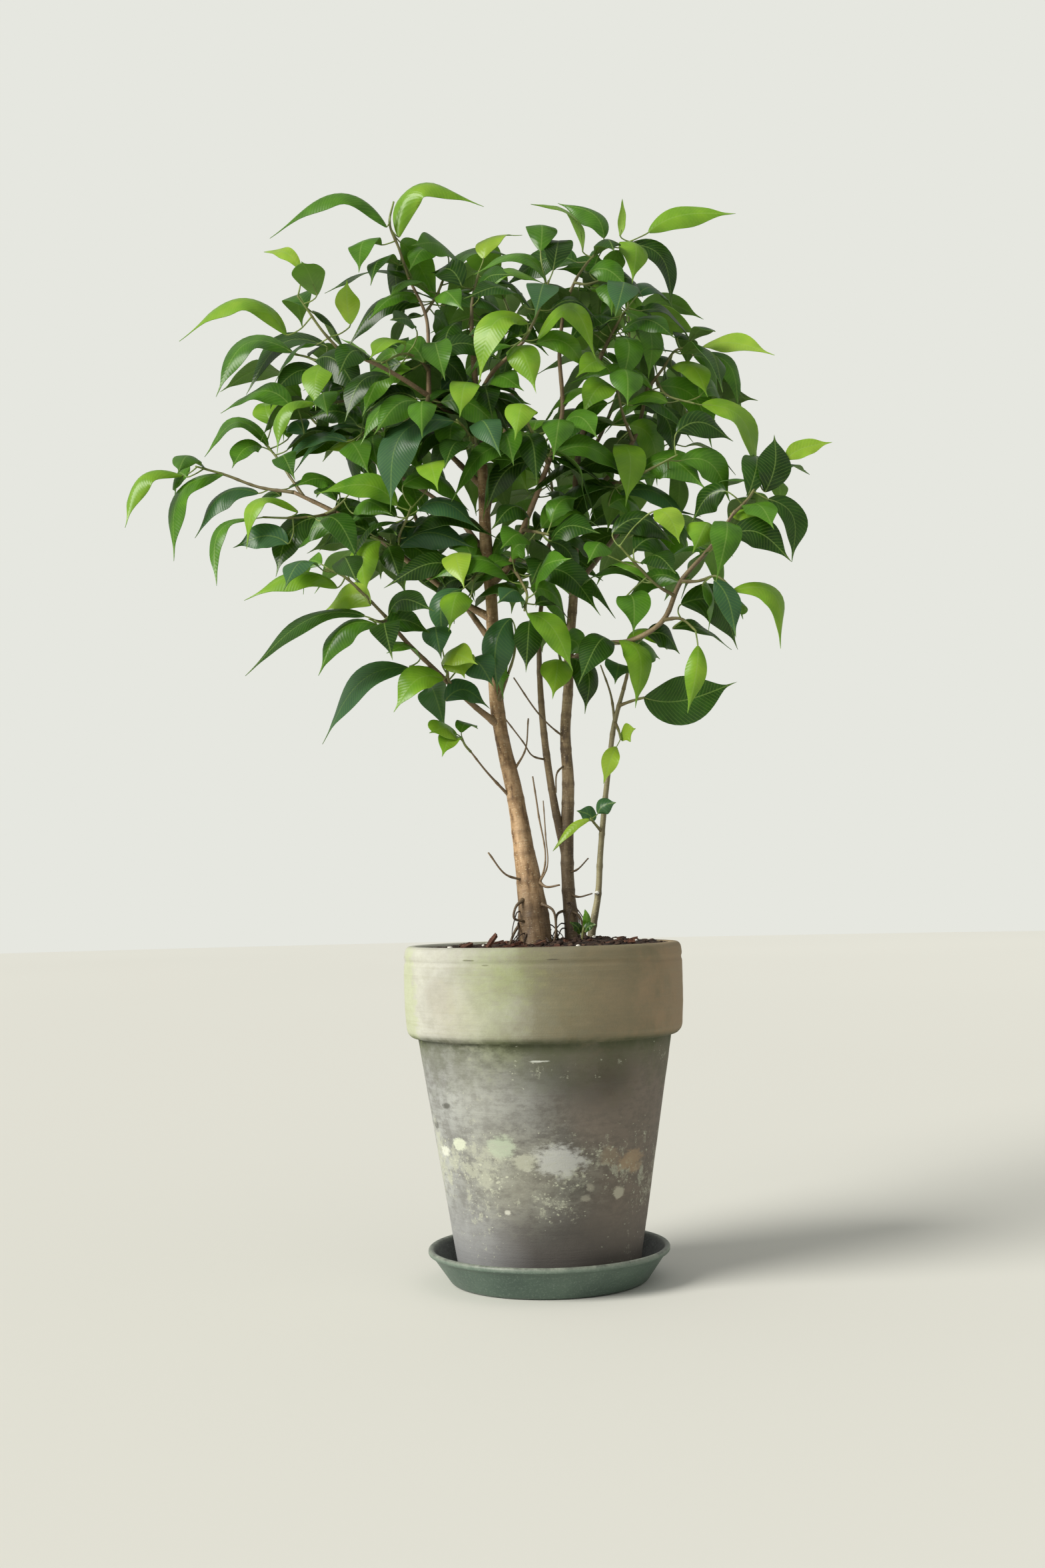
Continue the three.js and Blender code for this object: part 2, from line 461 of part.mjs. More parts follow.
    leaves: [[-3, 494, -28, 486, -0.4], [12, 478, 44, 482, -0.3], [-4, 478, -22, 473, -0.5], [12, 490, 30, 506, 0.3]] },
  { name: "spray_low_twig", route: [[-44, 340, -18, 0.75], [-48, 345, -22, 0.75], [-50, 350, -24, 0.6]], size: 0.75,
    leaves: [[-51, 349, -63, 337, -0.8], [-50, 353, -39, 354, 0.5], [-53, 352, -71, 353, -0.6]] },
  { name: "spray_low_left", route: [[-66, 395, -34, 1.2], [-74, 396, -42, 0.9], [-83, 397, -48, 0.7]],
    leaves: [[-84, 396, -141, 347, -0.85, 13], [-71, 384, -60, 353, 0.7], [-76, 402, -98, 406, -0.4]] },
  { name: "spray_low_cluster", route: [[-54, 382, -24, 1.3], [-58, 389, -38, 0.9], [-58, 399, -48, 0.8]],
    leaves: [[-61, 388, -94, 368, -0.2], [-62, 399, -38, 397, -0.6], [-52, 400, -47, 384, -0.6], [-60, 374, -31, 370, 0.6],
      [-64, 420, -62, 401, -0.6], [-46, 399, -28, 381, -0.4]] },
  { name: "spray_left_fan", route: [[-96, 427, -54, 1.1], [-102, 427, -64, 0.9], [-109, 429, -70, 0.7]],
    leaves: [[-112, 431, -191, 393, -0.85, 11], [-104, 425, -143, 391, -0.4], [-97, 421, -94, 401, -0.8], [-96, 431, -66, 433, -0.4],
      [-97, 425, -68, 418, 0.3]] },
  { name: "spray_left_low_tip", route: [[-98, 430, -55, 1.0], [-113, 446, -62, 0.9], [-126, 458, -66, 0.8], [-137, 463, -68, 0.6]],
    leaves: [[-130, 450, -191, 443, -0.85, 10], [-139, 462, -165, 449, -0.6], [-108, 438, -139, 434, 0.5], [-124, 463, -116, 452, -0.8],
      [-140, 466, -152, 455, 0.3]] },
  { name: "spray_left_curtain", route: [[-94, 476, 17, 1.3], [-100, 481, 2, 0.9], [-107, 483, -10, 0.7]],
    leaves: [[-101, 480, -110, 444, -0.3], [-96, 470, -101, 455, 0.4], [-108, 486, -141, 475, 0.4], [-92, 488, -78, 470, -0.4]] },
  { name: "spray_left_shelf", route: [[-130, 500, 22, 1.4], [-142, 498, 8, 0.9], [-158, 497, 0, 0.8], [-178, 498, -4, 0.6]],
    side: [[-137, 499, 14, 0.9], [-130, 503, 4, 0.8], [-123, 509, 0, 0.7]],
    leaves: [[-143, 497, -170, 458, -0.4], [-155, 501, -189, 477, -0.3, 18], [-186, 497, -209, 451], [-162, 480, -198, 475, 0.4],
      [-130, 488, -163, 470, 0.5], [-127, 512, -157, 518, -0.4], [-121, 512, -97, 513, -0.3], [-118, 499, -92, 497, -0.5]] },
  { name: "spray_left_tip", route: [[-156, 514, 26, 1.2], [-180, 518, 30, 1.0], [-203, 527, 32, 0.9], [-222, 533, 32, 0.6]],
    leaves: [[-231, 527, -269, 493, -0.85, 16], [-204, 527, -237, 470, 0.25, 10], [-216, 532, -234, 528, -0.7], [-181, 514, -223, 485, 0.25, 10],
      [-228, 526, -236, 513, 0.6], [-166, 512, -186, 494, 0.5]] },
  { name: "spray_left_rise", route: [[-150, 511, 25, 1.2], [-160, 525, 36, 0.9], [-170, 540, 42, 0.8], [-176, 547, 44, 0.6]],
    leaves: [[-174, 546, -216, 539, -0.2, 20], [-178, 545, -198, 531, -0.4], [-160, 551, -146, 548, 0.6], [-172, 560, -175, 575, 0.4]] },
  { name: "spray_mid_left_tip", route: [[-135, 598, 30, 0.9], [-146, 604, 28, 0.8], [-158, 607, 26, 0.6]],
    leaves: [[-134, 611, -188, 580, -0.2, 16], [-157, 608, -208, 576, 0.2, 18], [-136, 592, -171, 580, -0.3],
      [-128, 599, -142, 569, -0.5]] },
  { name: "spray_mid_left_low", route: [[-113, 577, 35, 1.2], [-126, 574, 20, 0.9], [-145, 573, 6, 0.7], [-156, 571, 0, 0.6]],
    leaves: [[-141, 573, -168, 540, -0.3, 14], [-158, 571, -205, 566, 0.25, 12], [-124, 583, -139, 573, 0.6], [-150, 553, -162, 556, 0.4]] },
  { name: "spray_mid_shelf", route: [[-97, 562, 36, 1.3], [-105, 556, 16, 0.9], [-112, 552, 2, 0.7]],
    leaves: [[-106, 554, -158, 526, -0.3, 13], [-122, 547, -167, 531, 0.3], [-121, 542, -107, 524, -0.5], [-100, 548, -101, 526, -0.7],
      [-118, 541, -138, 534, 0.7]] },
  { name: "spray_high_left_tip", route: [[-126, 609, -50, 0.95], [-137, 622, -56, 0.85], [-147, 637, -60, 0.7], [-153, 646, -62, 0.6]],
    leaves: [[-161, 620, -232, 617, -0.85, 24], [-151, 664, -175, 676, 0.6], [-140, 646, -150, 670, -0.6], [-118, 626, -120, 656, -0.5]] },
  { name: "spray_high_left_inner", route: [[-67, 594, -17, 1.3], [-73, 601, -30, 0.9], [-82, 605, -42, 0.8], [-98, 599, -56, 0.6]],
    leaves: [[-82, 611, -106, 602, -0.5], [-70, 599, -93, 608, 0.4], [-62, 612, -56, 586, -0.5], [-74, 620, -92, 628, -0.3],
      [-105, 602, -127, 591, -0.5], [-93, 590, -123, 560, -0.3, 10]] },
  { name: "spray_left_face", route: [[-66, 575, -24, 1.5], [-70, 571, -40, 0.9], [-76, 568, -50, 0.7]],
    leaves: [[-71, 571, -104, 551, -0.4], [-84, 560, -96, 540, 0.5], [-66, 566, -72, 548, -0.7]] },
  { name: "spray_nose", route: [[-33, 533, 6, 1.6], [-36, 540, -22, 1.0], [-37, 550, -48, 0.8]],
    side: [[-36, 540, -22, 0.9], [-43, 553, -34, 0.8], [-49, 560, -46, 0.7]],
    leaves: [[-51, 559, -94, 498, -0.3, 18], [-49, 559, -53, 531, -0.6], [-36, 553, -20, 534, -0.9], [-41, 541, -58, 527, -0.5],
      [-28, 536, -12, 530, -0.5]] },
  { name: "spray_face", route: [[-36, 575, 5, 1.5], [-37, 581, -18, 1.0], [-33, 586, -36, 0.8]],
    leaves: [[-36, 581, -47, 560, -0.6], [-37, 583, -61, 577, -0.3], [-29, 583, -4, 578, -0.4], [-30, 580, -25, 558, -0.6]] },
  { name: "spray_left_heart", route: [[-88, 471, 16, 1.5], [-88, 484, -4, 0.9], [-83, 495, -20, 0.8], [-80, 503, -28, 0.6]],
    leaves: [[-88, 476, -38, 474, -0.3], [-76, 500, -35, 486, -0.2, 9], [-78, 497, -91, 500, -0.3], [-85, 517, -42, 498, 0.2],
      [-64, 524, -62, 512, -0.9]] },
  { name: "spray_trunk_face", route: [[-30, 458, 4, 1.8], [-37, 459, -14, 1.0], [-41, 453, -28, 0.8]],
    leaves: [[-51, 470, -46, 447, -0.6], [-48, 447, -61, 411, -0.2], [-43, 440, -57, 420, -0.7], [-40, 466, -56, 478, 0.4]] },
  { name: "spray_trunk_low", route: [[-26.5, 370, 2, 1.8], [-19.5, 388, -13, 1.0], [-14, 405, -22, 0.8], [-13, 419, -28, 0.6]],
    leaves: [[-16, 427, -26, 376, -0.2], [-4, 425, -7, 391, -0.4], [-20, 402, -22, 374, 0.3], [1, 423, 4, 404, 0.5]] },
  { name: "spray_centre", route: [[10, 528, -24, 1.4], [5, 541, -38, 1.0], [-1, 554, -48, 0.8], [-5, 563, -54, 0.6]],
    leaves: [[-3, 562, -11, 545, -0.7], [-5, 548, 3, 514, -0.4], [-20, 549, -12, 527, -0.5], [22, 556, 44, 545, -0.4],
      [18, 552, 14, 528, -0.6]] },
];

// Sprays of the hidden side, whose leaves are placed by rule
const HIDDEN_SPRAYS = [
  { name: "spray_back_1", route: [[-84, 519, 84, 1.1], [-94, 545, 96, 0.9], [-104, 575, 104, 0.7]], count: 6 },
  { name: "spray_back_2", route: [[-60, 460, 51, 1.4], [-80, 466, 78, 1.0], [-104, 470, 96, 0.7]], count: 6 },
  { name: "spray_back_3", route: [[-8, 600, 84, 1.1], [-12, 628, 92, 0.9], [-20, 652, 94, 0.7]], count: 6 },
  { name: "spray_back_4", route: [[-20, 545, 55, 1.4], [-38, 560, 84, 1.0], [-56, 580, 106, 0.7]], count: 6 },
  { name: "spray_back_5", route: [[-127, 547, 62, 1.0], [-144, 562, 66, 0.8], [-158, 584, 66, 0.6]], count: 5 },
  { name: "spray_back_6", route: [[90, 534, 80, 1.0], [102, 556, 92, 0.8], [108, 582, 96, 0.6]], count: 6 },
  { name: "spray_back_7", route: [[58, 487, 52, 1.3], [78, 484, 80, 0.9], [100, 478, 98, 0.7]], count: 6 },
  { name: "spray_back_8", route: [[61, 583, 61, 1.1], [66, 610, 72, 0.9], [66, 636, 76, 0.7]], count: 6 },
  { name: "spray_back_9", route: [[14, 498, 52, 1.0], [12, 520, 74, 0.9], [6, 545, 94, 0.7]], count: 6 },
  { name: "spray_back_10", route: [[8, 458, 33, 1.1], [-4, 464, 60, 0.9], [-16, 462, 84, 0.7]], count: 5 },
];

// A leafy spray standing by itself in the soil
const SEEDLING = {
  name: "seedling", route: [[26, STEM_FOOT + 16, -13, 1.0], [26, 218, -13, 0.9], [27, 224, -14, 0.7]], size: 0.3,
  leaves: [[24, 220, 18, 228, -0.3], [28, 221, 35, 226, -0.3], [27, 225, 28, 235, -0.2]],
};

// Turned pieces: a profile of [radius, height] points, taken round the axis
function turned(profile) {
  const points = profile.map(([radius, height]) => new THREE.Vector2(radius, height));
  const lathe = new THREE.LatheGeometry(points, TURNED_SIDES);
  lathe.rotateX(Math.PI / 2);
  return solidOf(lathe);
}

// A turned solid comes out inside out or not by the way its profile runs; this one always faces out
function facingOut(profile) {
  const solid = turned(profile);
  return solid.volume() > 0 ? solid : turned([...profile].reverse());
}

// The pot's inside widens evenly up to its shoulder, and a little more slowly from there to the lip
const POT_FOOT = SAUCER_FLOOR + GAP;
const POT_FLOOR = POT_FOOT + FLOOR;
const SHOULDER = COLLAR_BOTTOM + 12;
const INSIDE_FOOT = BODY_FOOT_RADIUS - WALL;
const INSIDE_SHOULDER = BODY_TOP_RADIUS - WALL + 1.5;
const INSIDE_LIP = RIM_RADIUS - 8.6;
function insideRadius(height) {
  const mix = (from, to, share) => from + (to - from) * share;
  if (height < SHOULDER) return mix(INSIDE_FOOT, INSIDE_SHOULDER, (height - POT_FLOOR) / (SHOULDER - POT_FLOOR));
  return mix(INSIDE_SHOULDER, INSIDE_LIP, (height - SHOULDER) / (RIM_TOP - 2 - SHOULDER));
}

function pot() {
  const profile = [
    [DRAIN_RADIUS, POT_FOOT], [BODY_FOOT_RADIUS - 2, POT_FOOT], [BODY_FOOT_RADIUS, POT_FOOT + 2],
    [BODY_TOP_RADIUS, COLLAR_BOTTOM], [RIM_RADIUS - 4, COLLAR_BOTTOM + 0.5], [RIM_RADIUS - 1.2, COLLAR_BOTTOM + 3.5],
    [RIM_RADIUS, COLLAR_BOTTOM + 20], [RIM_RADIUS, RIM_TOP - 10], [RIM_RADIUS - 0.5, RIM_TOP - 2.5],
    [RIM_RADIUS - 2.5, RIM_TOP], [RIM_RADIUS - 7, RIM_TOP], [INSIDE_LIP, RIM_TOP - 2], [INSIDE_SHOULDER, SHOULDER],
    [INSIDE_FOOT, POT_FLOOR], [DRAIN_RADIUS, POT_FLOOR],
  ];
  return facingOut([...profile, profile[0]]);
}

function saucer() {
  return facingOut([
    [0, 0], [SAUCER_FOOT_RADIUS, 0], [SAUCER_FOOT_RADIUS + 1.6, 1.2], [SAUCER_RIM_RADIUS - 2.4, SAUCER_HEIGHT - 4.4],
    [SAUCER_RIM_RADIUS, SAUCER_HEIGHT - 3.6], [SAUCER_RIM_RADIUS, SAUCER_HEIGHT - 1], [SAUCER_RIM_RADIUS - 1.2, SAUCER_HEIGHT],
    [SAUCER_RIM_RADIUS - 3.2, SAUCER_HEIGHT - 0.6], [SAUCER_RIM_RADIUS - 4.4, SAUCER_HEIGHT - 3],
    [SAUCER_FOOT_RADIUS, 4.2], [SAUCER_FOOT_RADIUS - 2.2, SAUCER_FLOOR], [0, SAUCER_FLOOR],
  ]);
}

// Soil fills the pot. Its surface is a mound round the stems, higher on the right, with crumbs.
const SOIL_SIDES = 22;
const SOIL_RINGS = 6;
function soilHeight(x, y) {
  const mound = MOUND_HEIGHT * Math.exp(-((x - 12) ** 2 + y * y) / (2 * MOUND_SPREAD ** 2));
  const right = 3 / (1 + Math.exp(-(x - 20) / 10));
  const crumbs = Math.sin(x * 0.31 + 1) * Math.cos(y * 0.27) + 0.7 * Math.sin(x * 0.55 + y * 0.62);
  return SOIL_LEVEL + mound + right + 0.9 * crumbs;
}

const SOIL_CLEARANCE = 0.8;
function soil() {
  const edge = (radius, height) =>
    Array.from({ length: SOIL_SIDES }, (_, j) => {
      const angle = (2 * Math.PI * j) / SOIL_SIDES;
      const x = radius * Math.cos(angle);
      const y = radius * Math.sin(angle);
      return new THREE.Vector3(x, y, height ?? soilHeight(x, y));
    });
  const rings = [
    edge(INSIDE_FOOT - SOIL_CLEARANCE, POT_FLOOR + GAP),
    edge(INSIDE_SHOULDER - SOIL_CLEARANCE, SHOULDER),
  ];
  const rim = insideRadius(SOIL_LEVEL - 4) - SOIL_CLEARANCE;
  for (let i = SOIL_RINGS; i > 0; i--) rings.push(edge((i / SOIL_RINGS) * rim));
  rings.push([new THREE.Vector3(0, 0, soilHeight(0, 0))]);
  return solidOf(skin(rings));
}

// Chips of bark lying on the soil, pressed into it: [across, behind, length, turn, tilt]
const CHIPS = [
  [-34, -22, 17, 0.5, 0.9], [-24, -30, 20, -0.3, 0.25], [-16, -34, 15, 0.2, 0.15], [-50, 8, 14, 1.2, 0.2],
  [44, -30, 13, 0.7, 0.2], [58, 6, 12, -0.9, 0.25], [8, 44, 16, 0.1, 0.2], [-20, 36, 14, 1.7, 0.2],
];
function barkChip([x, y, length, turn, tilt], twist) {
  const outline = new THREE.Shape();
  outline.moveTo(-length / 2, -2.2);
  outline.lineTo(length * 0.38, -2.8);
  outline.lineTo(length / 2, 0.4);
  outline.lineTo(length * 0.2, 2.6);
  outline.lineTo(-length * 0.42, 2);
  const chip = new THREE.ExtrudeGeometry(outline, { depth: 2.4, bevelEnabled: false });
  chip.translate(0, 0, -1.6);
  chip.rotateY(-tilt);
  chip.rotateZ(turn + TWIST * twist);
  chip.translate(x, y, soilHeight(x, y) + Math.sin(tilt) * length * 0.32);
  return solidOf(chip);
}

// Materials by what each piece is made of
const finish = (color, roughness) => new THREE.MeshStandardMaterial({ color, roughness, metalness: 0 });
const CLAY = finish("#8f8a80", 0.9);
const PLASTIC = finish("#3f5a48", 0.45);
const EARTH = finish("#2e2420", 1);
const TAN_BARK = finish("#a07f55", 0.8);
const BROWN_BARK = finish("#7a5c40", 0.85);
const GREY_BARK = finish("#97876a", 0.8);
const LEAF = finish("#3c6a26", 0.4);
const YOUNG_LEAF = finish("#8fb32e", 0.4);

const plant = new THREE.Group();
plant.name = "weeping_fig";
function addPiece(name, solid, material) {
  const mesh = new THREE.Mesh(geometryOf(solid), material);
  mesh.name = name;
  plant.add(mesh);
}

// A stem is its main route or routes, and then each limb and twig fused on
function stem([, main, sides, limbs, twigs]) {
  const parts = [
    ...main.map((route) => [route, sides]),
    ...limbs.map((route) => [route, 5]),
    ...twigs.map((route) => [route, 4]),
  ];
  return parts.slice(1).reduce(
    (whole, [route, corners]) => finest((twist) => ({ whole: whole.add(branch(route, { sides: corners, twist })) })).whole,
    branch(parts[0][0], { sides: parts[0][1] }),
  );
}

// The same stems with their skin grown, to cut room for them out of what touches them
function swollenStem([, main, sides, limbs, twigs], swell) {
  return joined([
    ...main.map((route) => branch(route, { sides, swell })),
    ...limbs.map((route) => branch(route, { sides: 5, swell })),
    ...twigs.map((route) => branch(route, { sides: 4, swell })),
  ]);
}
const STEMS = [
  ["main_trunk", [TRUNK_ROUTE], 8, TRUNK_LIMBS, [...TRUNK_TWIGS, ...TRUNK_ROOTS], TAN_BARK],
  ["side_stem", [SIDE_STEM_ROUTE, FORK_ROUTE], 7, SIDE_LIMBS, [...SIDE_TWIGS, ...SIDE_ROOTS], BROWN_BARK],
  ["thin_stem", [THIN_STEM_ROUTE], 6, [], THIN_STEM_TWIGS, GREY_BARK],
];
const stems = STEMS.map(stem);
const room = Array.from({ length: TRIES }, (_, twist) =>
  joined(STEMS.map((parts) => swollenStem(parts, GAP + 0.008 * twist))),
);

function spraySkeleton(spray) {
  const twigOf = (route, twist) => branch(route, { sides: 4, thinnest: THINNEST_TWIG, twist });
  const main = twigOf(spray.route, 0);
  return spray.side ? finest((twist) => ({ whole: main.add(twigOf(spray.side, twist)) })).whole : main;
}

// Every spray's twig is there before the first leaf, so that each leaf can be bent clear of all of them
const sprays = [...SPRAYS, ...HIDDEN_SPRAYS, SEEDLING].map((spray) => ({
  ...spray,
  twig: spraySkeleton(spray),
  blades: [],
}));
const boxesMeet = (a, b) => [0, 1, 2].every((i) => a.min[i] < b.max[i] && b.min[i] < a.max[i]);
const meet = (a, b) => boxesMeet(a.boundingBox(), b.boundingBox()) && !a.intersect(b).isEmpty();
const OWN_CROSSING = 0.05;

function leafIsClear(leaf, spray) {
  const roomy = leafSolid(leaf, { grow: 0.35 });
  if (stems.some((other) => meet(roomy, other))) return false;
  for (const other of sprays) {
    if (other === spray) {
      if (spray.blades.some((blade) => roomy.intersect(blade).volume() > OWN_CROSSING)) return false;
    } else if (meet(roomy, other.twig) || other.blades.some((blade) => meet(roomy, blade))) return false;
  }
  return true;
}

let seed = 0;
for (const spray of sprays) {
  const count = spray.leaves?.length ?? spray.count;
  const roots = spray.leaves ? rootsOf(spray) : [];
  spray.whole = spray.twig;
  for (let index = 0; index < count; index++) {
    seed += 1;
    for (const bend of BENDS) {
      const leaf = spray.leaves
        ? seenLeaf(spray, roots[index], spray.leaves[index], index, seed, bend)
        : ruledLeaf(spray, index, seed, bend);
      leaf.half *= spray.broad ?? 1;
      if (!leafIsClear(leaf, spray)) continue;
      const grown = finest((twist) => {
        const blade = leafSolid(leaf, { twist });
        return { blade, whole: spray.whole.add(blade) };
      });
      spray.blades.push(grown.blade);
      spray.whole = grown.whole;
      break;
    }
  }
}

const seedlingRoom = branch(SEEDLING.route, { sides: 4, swell: GAP, thinnest: THINNEST_TWIG });
const bed = CHIPS.reduce(
  (whole, chip) => finest((twist) => ({ whole: whole.add(barkChip(chip, twist)) })).whole,
  soil(),
);
const ground = finest((twist) => ({ whole: largestBody(bed.subtract(room[twist]).subtract(seedlingRoom)) })).whole;
addPiece("saucer", saucer(), PLASTIC);
addPiece("pot", pot(), CLAY);
addPiece("soil", ground, EARTH);
STEMS.forEach(([name, , , , , material], i) => addPiece(name, stems[i], material));
for (const spray of sprays) {
  const cut = finest((twist) => ({ whole: largestBody(spray.whole.subtract(room[twist])) })).whole;
  addPiece(spray.name, cut, spray.size ? YOUNG_LEAF : LEAF);
}

export default plant;
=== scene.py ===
# %% [markdown]
# # A weeping fig in a clay pot
# This lesson dresses a plain solid model of a potted weeping fig. The solid model is the frame: it says
# where the pot, the stems and each leaf are. Every cell below makes one piece or one finish around it.

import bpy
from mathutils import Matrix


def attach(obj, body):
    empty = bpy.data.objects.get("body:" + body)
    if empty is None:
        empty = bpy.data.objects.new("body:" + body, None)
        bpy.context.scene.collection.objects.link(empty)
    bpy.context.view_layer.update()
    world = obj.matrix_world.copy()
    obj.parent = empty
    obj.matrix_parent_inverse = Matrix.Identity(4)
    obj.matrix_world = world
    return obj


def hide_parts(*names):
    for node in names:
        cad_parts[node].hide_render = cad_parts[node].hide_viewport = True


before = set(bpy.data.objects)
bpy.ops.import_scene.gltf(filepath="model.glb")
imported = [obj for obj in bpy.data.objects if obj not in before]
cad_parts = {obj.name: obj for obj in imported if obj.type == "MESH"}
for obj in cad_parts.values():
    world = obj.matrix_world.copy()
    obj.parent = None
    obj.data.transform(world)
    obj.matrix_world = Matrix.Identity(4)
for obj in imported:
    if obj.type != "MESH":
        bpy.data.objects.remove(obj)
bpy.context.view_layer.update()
print("solids in the frame:", len(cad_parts))

# %% [markdown]
# ## Units and colours
# Blender works in metres, and a plant is read off a photograph in millimetres, so every size below is
# written in millimetres and turned into metres when a mesh is made. Colours are written as the hex
# values that a colour picker shows. A shader wants linear light, so one function turns them.

# %% Millimetres and hex colours
import math
from itertools import combinations
from types import SimpleNamespace

import bpy
import numpy as np
from mathutils import Matrix, Vector, kdtree, noise

MM = 0.001
FULL_TURN = 2 * math.pi


def linear(code):
    """An sRGB hex colour as linear red, green, blue and alpha."""
    parts = [int(code[i : i + 2], 16) / 255 for i in (1, 3, 5)]
    light = [c / 12.92 if c <= 0.04045 else ((c + 0.055) / 1.055) ** 2.4 for c in parts]
    return (*light, 1.0)


print("white is", linear("#FFFFFF"), "and a dark leaf is", linear("#23421F"))


# %% One function that adds a node, and one that starts a material
def add(tree, kind, inputs=(), stops=(), **settings):
    """Adds one node. inputs fill its sockets in use, in order or by name, and stops a colour ramp.

    A socket is linked, a node is linked by its first output in use, and a hex code becomes a colour.
    """
    node = tree.nodes.new("ShaderNode" + kind)
    for name, value in settings.items():
        setattr(node, name, value)
    named = isinstance(inputs, dict)
    sockets = [node.inputs[key] for key in inputs] if named else [s for s in node.inputs if s.enabled]
    for socket, value in zip(sockets, inputs.values() if named else inputs):
        if isinstance(value, bpy.types.Node):
            value = next(output for output in value.outputs if output.enabled)
        if isinstance(value, bpy.types.NodeSocket):
            tree.links.new(value, socket)
        else:
            socket.default_value = linear(value) if isinstance(value, str) else value
    for number, (place_on_ramp, code) in enumerate(stops):
        if number > 1:
            node.color_ramp.elements.new(place_on_ramp)
        stop = node.color_ramp.elements[number]
        stop.position = place_on_ramp
        stop.color = linear(code)
    return node


def finish(name, surface, *values):
    """A new material: surface adds its nodes to the tree and gives back the last one."""
    material = bpy.data.materials.new(name)
    material.use_nodes = True
    tree = material.node_tree
    tree.nodes.clear()
    add(tree, "OutputMaterial", [surface(tree, *values)])
    return material


# %% [markdown]
# ## Camera
# The photograph was taken from a little above the rim of the pot, 1.2 m away, with the camera tipped
# up by three degrees and leaning a little to one side. Matching those numbers first means that every
# later comparison is fair. Only the lens and the three small angles are needed, and no lens shift.

# %% Set the camera at the photograph's angle
EYE_DISTANCE = 1201.5
EYE_HEIGHT = 245.8
FRAME_HEIGHT_PIXELS = 2352
FOCAL_PIXELS = 2770
SENSOR = 36
PITCH, YAW, ROLL = (math.radians(angle) for angle in (3.4498, 0.5124, 1.2442))


def show(name, data):
    """An object for the data, linked to the scene."""
    shown = bpy.data.objects.new(name, data)
    bpy.context.scene.collection.objects.link(shown)
    return shown


camera_data = bpy.data.cameras.new("camera")
camera_data.sensor_width = SENSOR
camera_data.lens = FOCAL_PIXELS / FRAME_HEIGHT_PIXELS * SENSOR
camera = show("camera", camera_data)
level = Matrix.Translation((0, -EYE_DISTANCE * MM, EYE_HEIGHT * MM)) @ Matrix.Rotation(YAW, 4, "Z")
lifted = level @ Matrix.Rotation(math.pi / 2 + PITCH, 4, "X")
camera.matrix_world = lifted @ Matrix.Rotation(-ROLL, 4, "Z")
bpy.context.scene.camera = camera
print("lens in mm:", round(camera_data.lens, 1))

# %% [markdown]
# ## Floor and light
# The plant stands in a bright room, lit by a wide soft light from the left, so the leaves show broad
# pale sheens and the pot shades softly to the right. A sun lamp lights the whole floor evenly, and one
# that looks 32 degrees wide gives shadows with a soft edge, as a large window does. A pale world
# fills in the rest.

# %% Lay a pale floor
FLOOR_RADIUS = 9000 * MM
FLOOR_SIDES = 96
FLOOR_DROP = 0.2 * MM


def around(sides):
    """The angles of a round with so many sides."""
    return np.linspace(0, FULL_TURN, sides, endpoint=False)


def rolled_matt_paint(tree):
    """Matt emulsion paint, rolled on: no shine, and a faint unevenness."""
    mottle = add(tree, "TexNoise", {"Scale": 3.0, "Detail": 2.0})
    tint = add(tree, "ValToRGB", [mottle], [(0.3, "#DEDDD6"), (0.7, "#E3E2DB")])
    return add(tree, "BsdfPrincipled", {"Base Color": tint, "Roughness": 0.9})


rim = [(FLOOR_RADIUS * math.cos(a), FLOOR_RADIUS * math.sin(a), -FLOOR_DROP) for a in around(FLOOR_SIDES)]
floor_mesh = bpy.data.meshes.new("floor")
floor_mesh.from_pydata(rim, [], [list(range(FLOOR_SIDES))])
floor_mesh.materials.append(finish("rolled_matt_paint", rolled_matt_paint))
floor = show("floor", floor_mesh)
print("floor in metres:", 2 * FLOOR_RADIUS)

# %% Set a wide soft sun and a pale room
SUN_FROM = Vector((-0.74, -0.46, 0.50))
SUN_WIDTH = 32
SUN_STRENGTH = 3.7
ROOM_GLOW = 0.5
WALL_GLOW = 1.0

sun = bpy.data.lights.new("window_side", "SUN")
sun.energy = SUN_STRENGTH
sun.angle = math.radians(SUN_WIDTH)
sun.color = linear("#FFFDF6")[:3]
show("window_side", sun).rotation_euler = SUN_FROM.to_track_quat("Z", "Y").to_euler()

world = bpy.data.worlds.new("pale_room")
world.use_nodes = True
room = world.node_tree
room.nodes.clear()
glow = add(room, "Background", ["#F4F5F0", ROOM_GLOW])
# The wall behind is brighter to the eye than the light that the room gives back.
wall = add(room, "Background", ["#E6E7E0", WALL_GLOW])
direct = add(room, "LightPath").outputs["Is Camera Ray"]
add(room, "OutputWorld", [add(room, "MixShader", [direct, glow, wall])])
bpy.context.scene.world = world
bpy.context.scene.view_settings.view_transform = "Standard"
print("sun from:", tuple(SUN_FROM), "degrees wide:", SUN_WIDTH)

# %% [markdown]
# ## From numbers to meshes
# Each piece below is computed as rows of points and faces. One function turns them into an object,
# hangs it on the frame's only body and hides the solid that it stands for. Extra numbers, such as
# how far along a stem a point lies, go on the mesh as attributes, which the materials read later.

# %% One function that makes a piece
made = {}


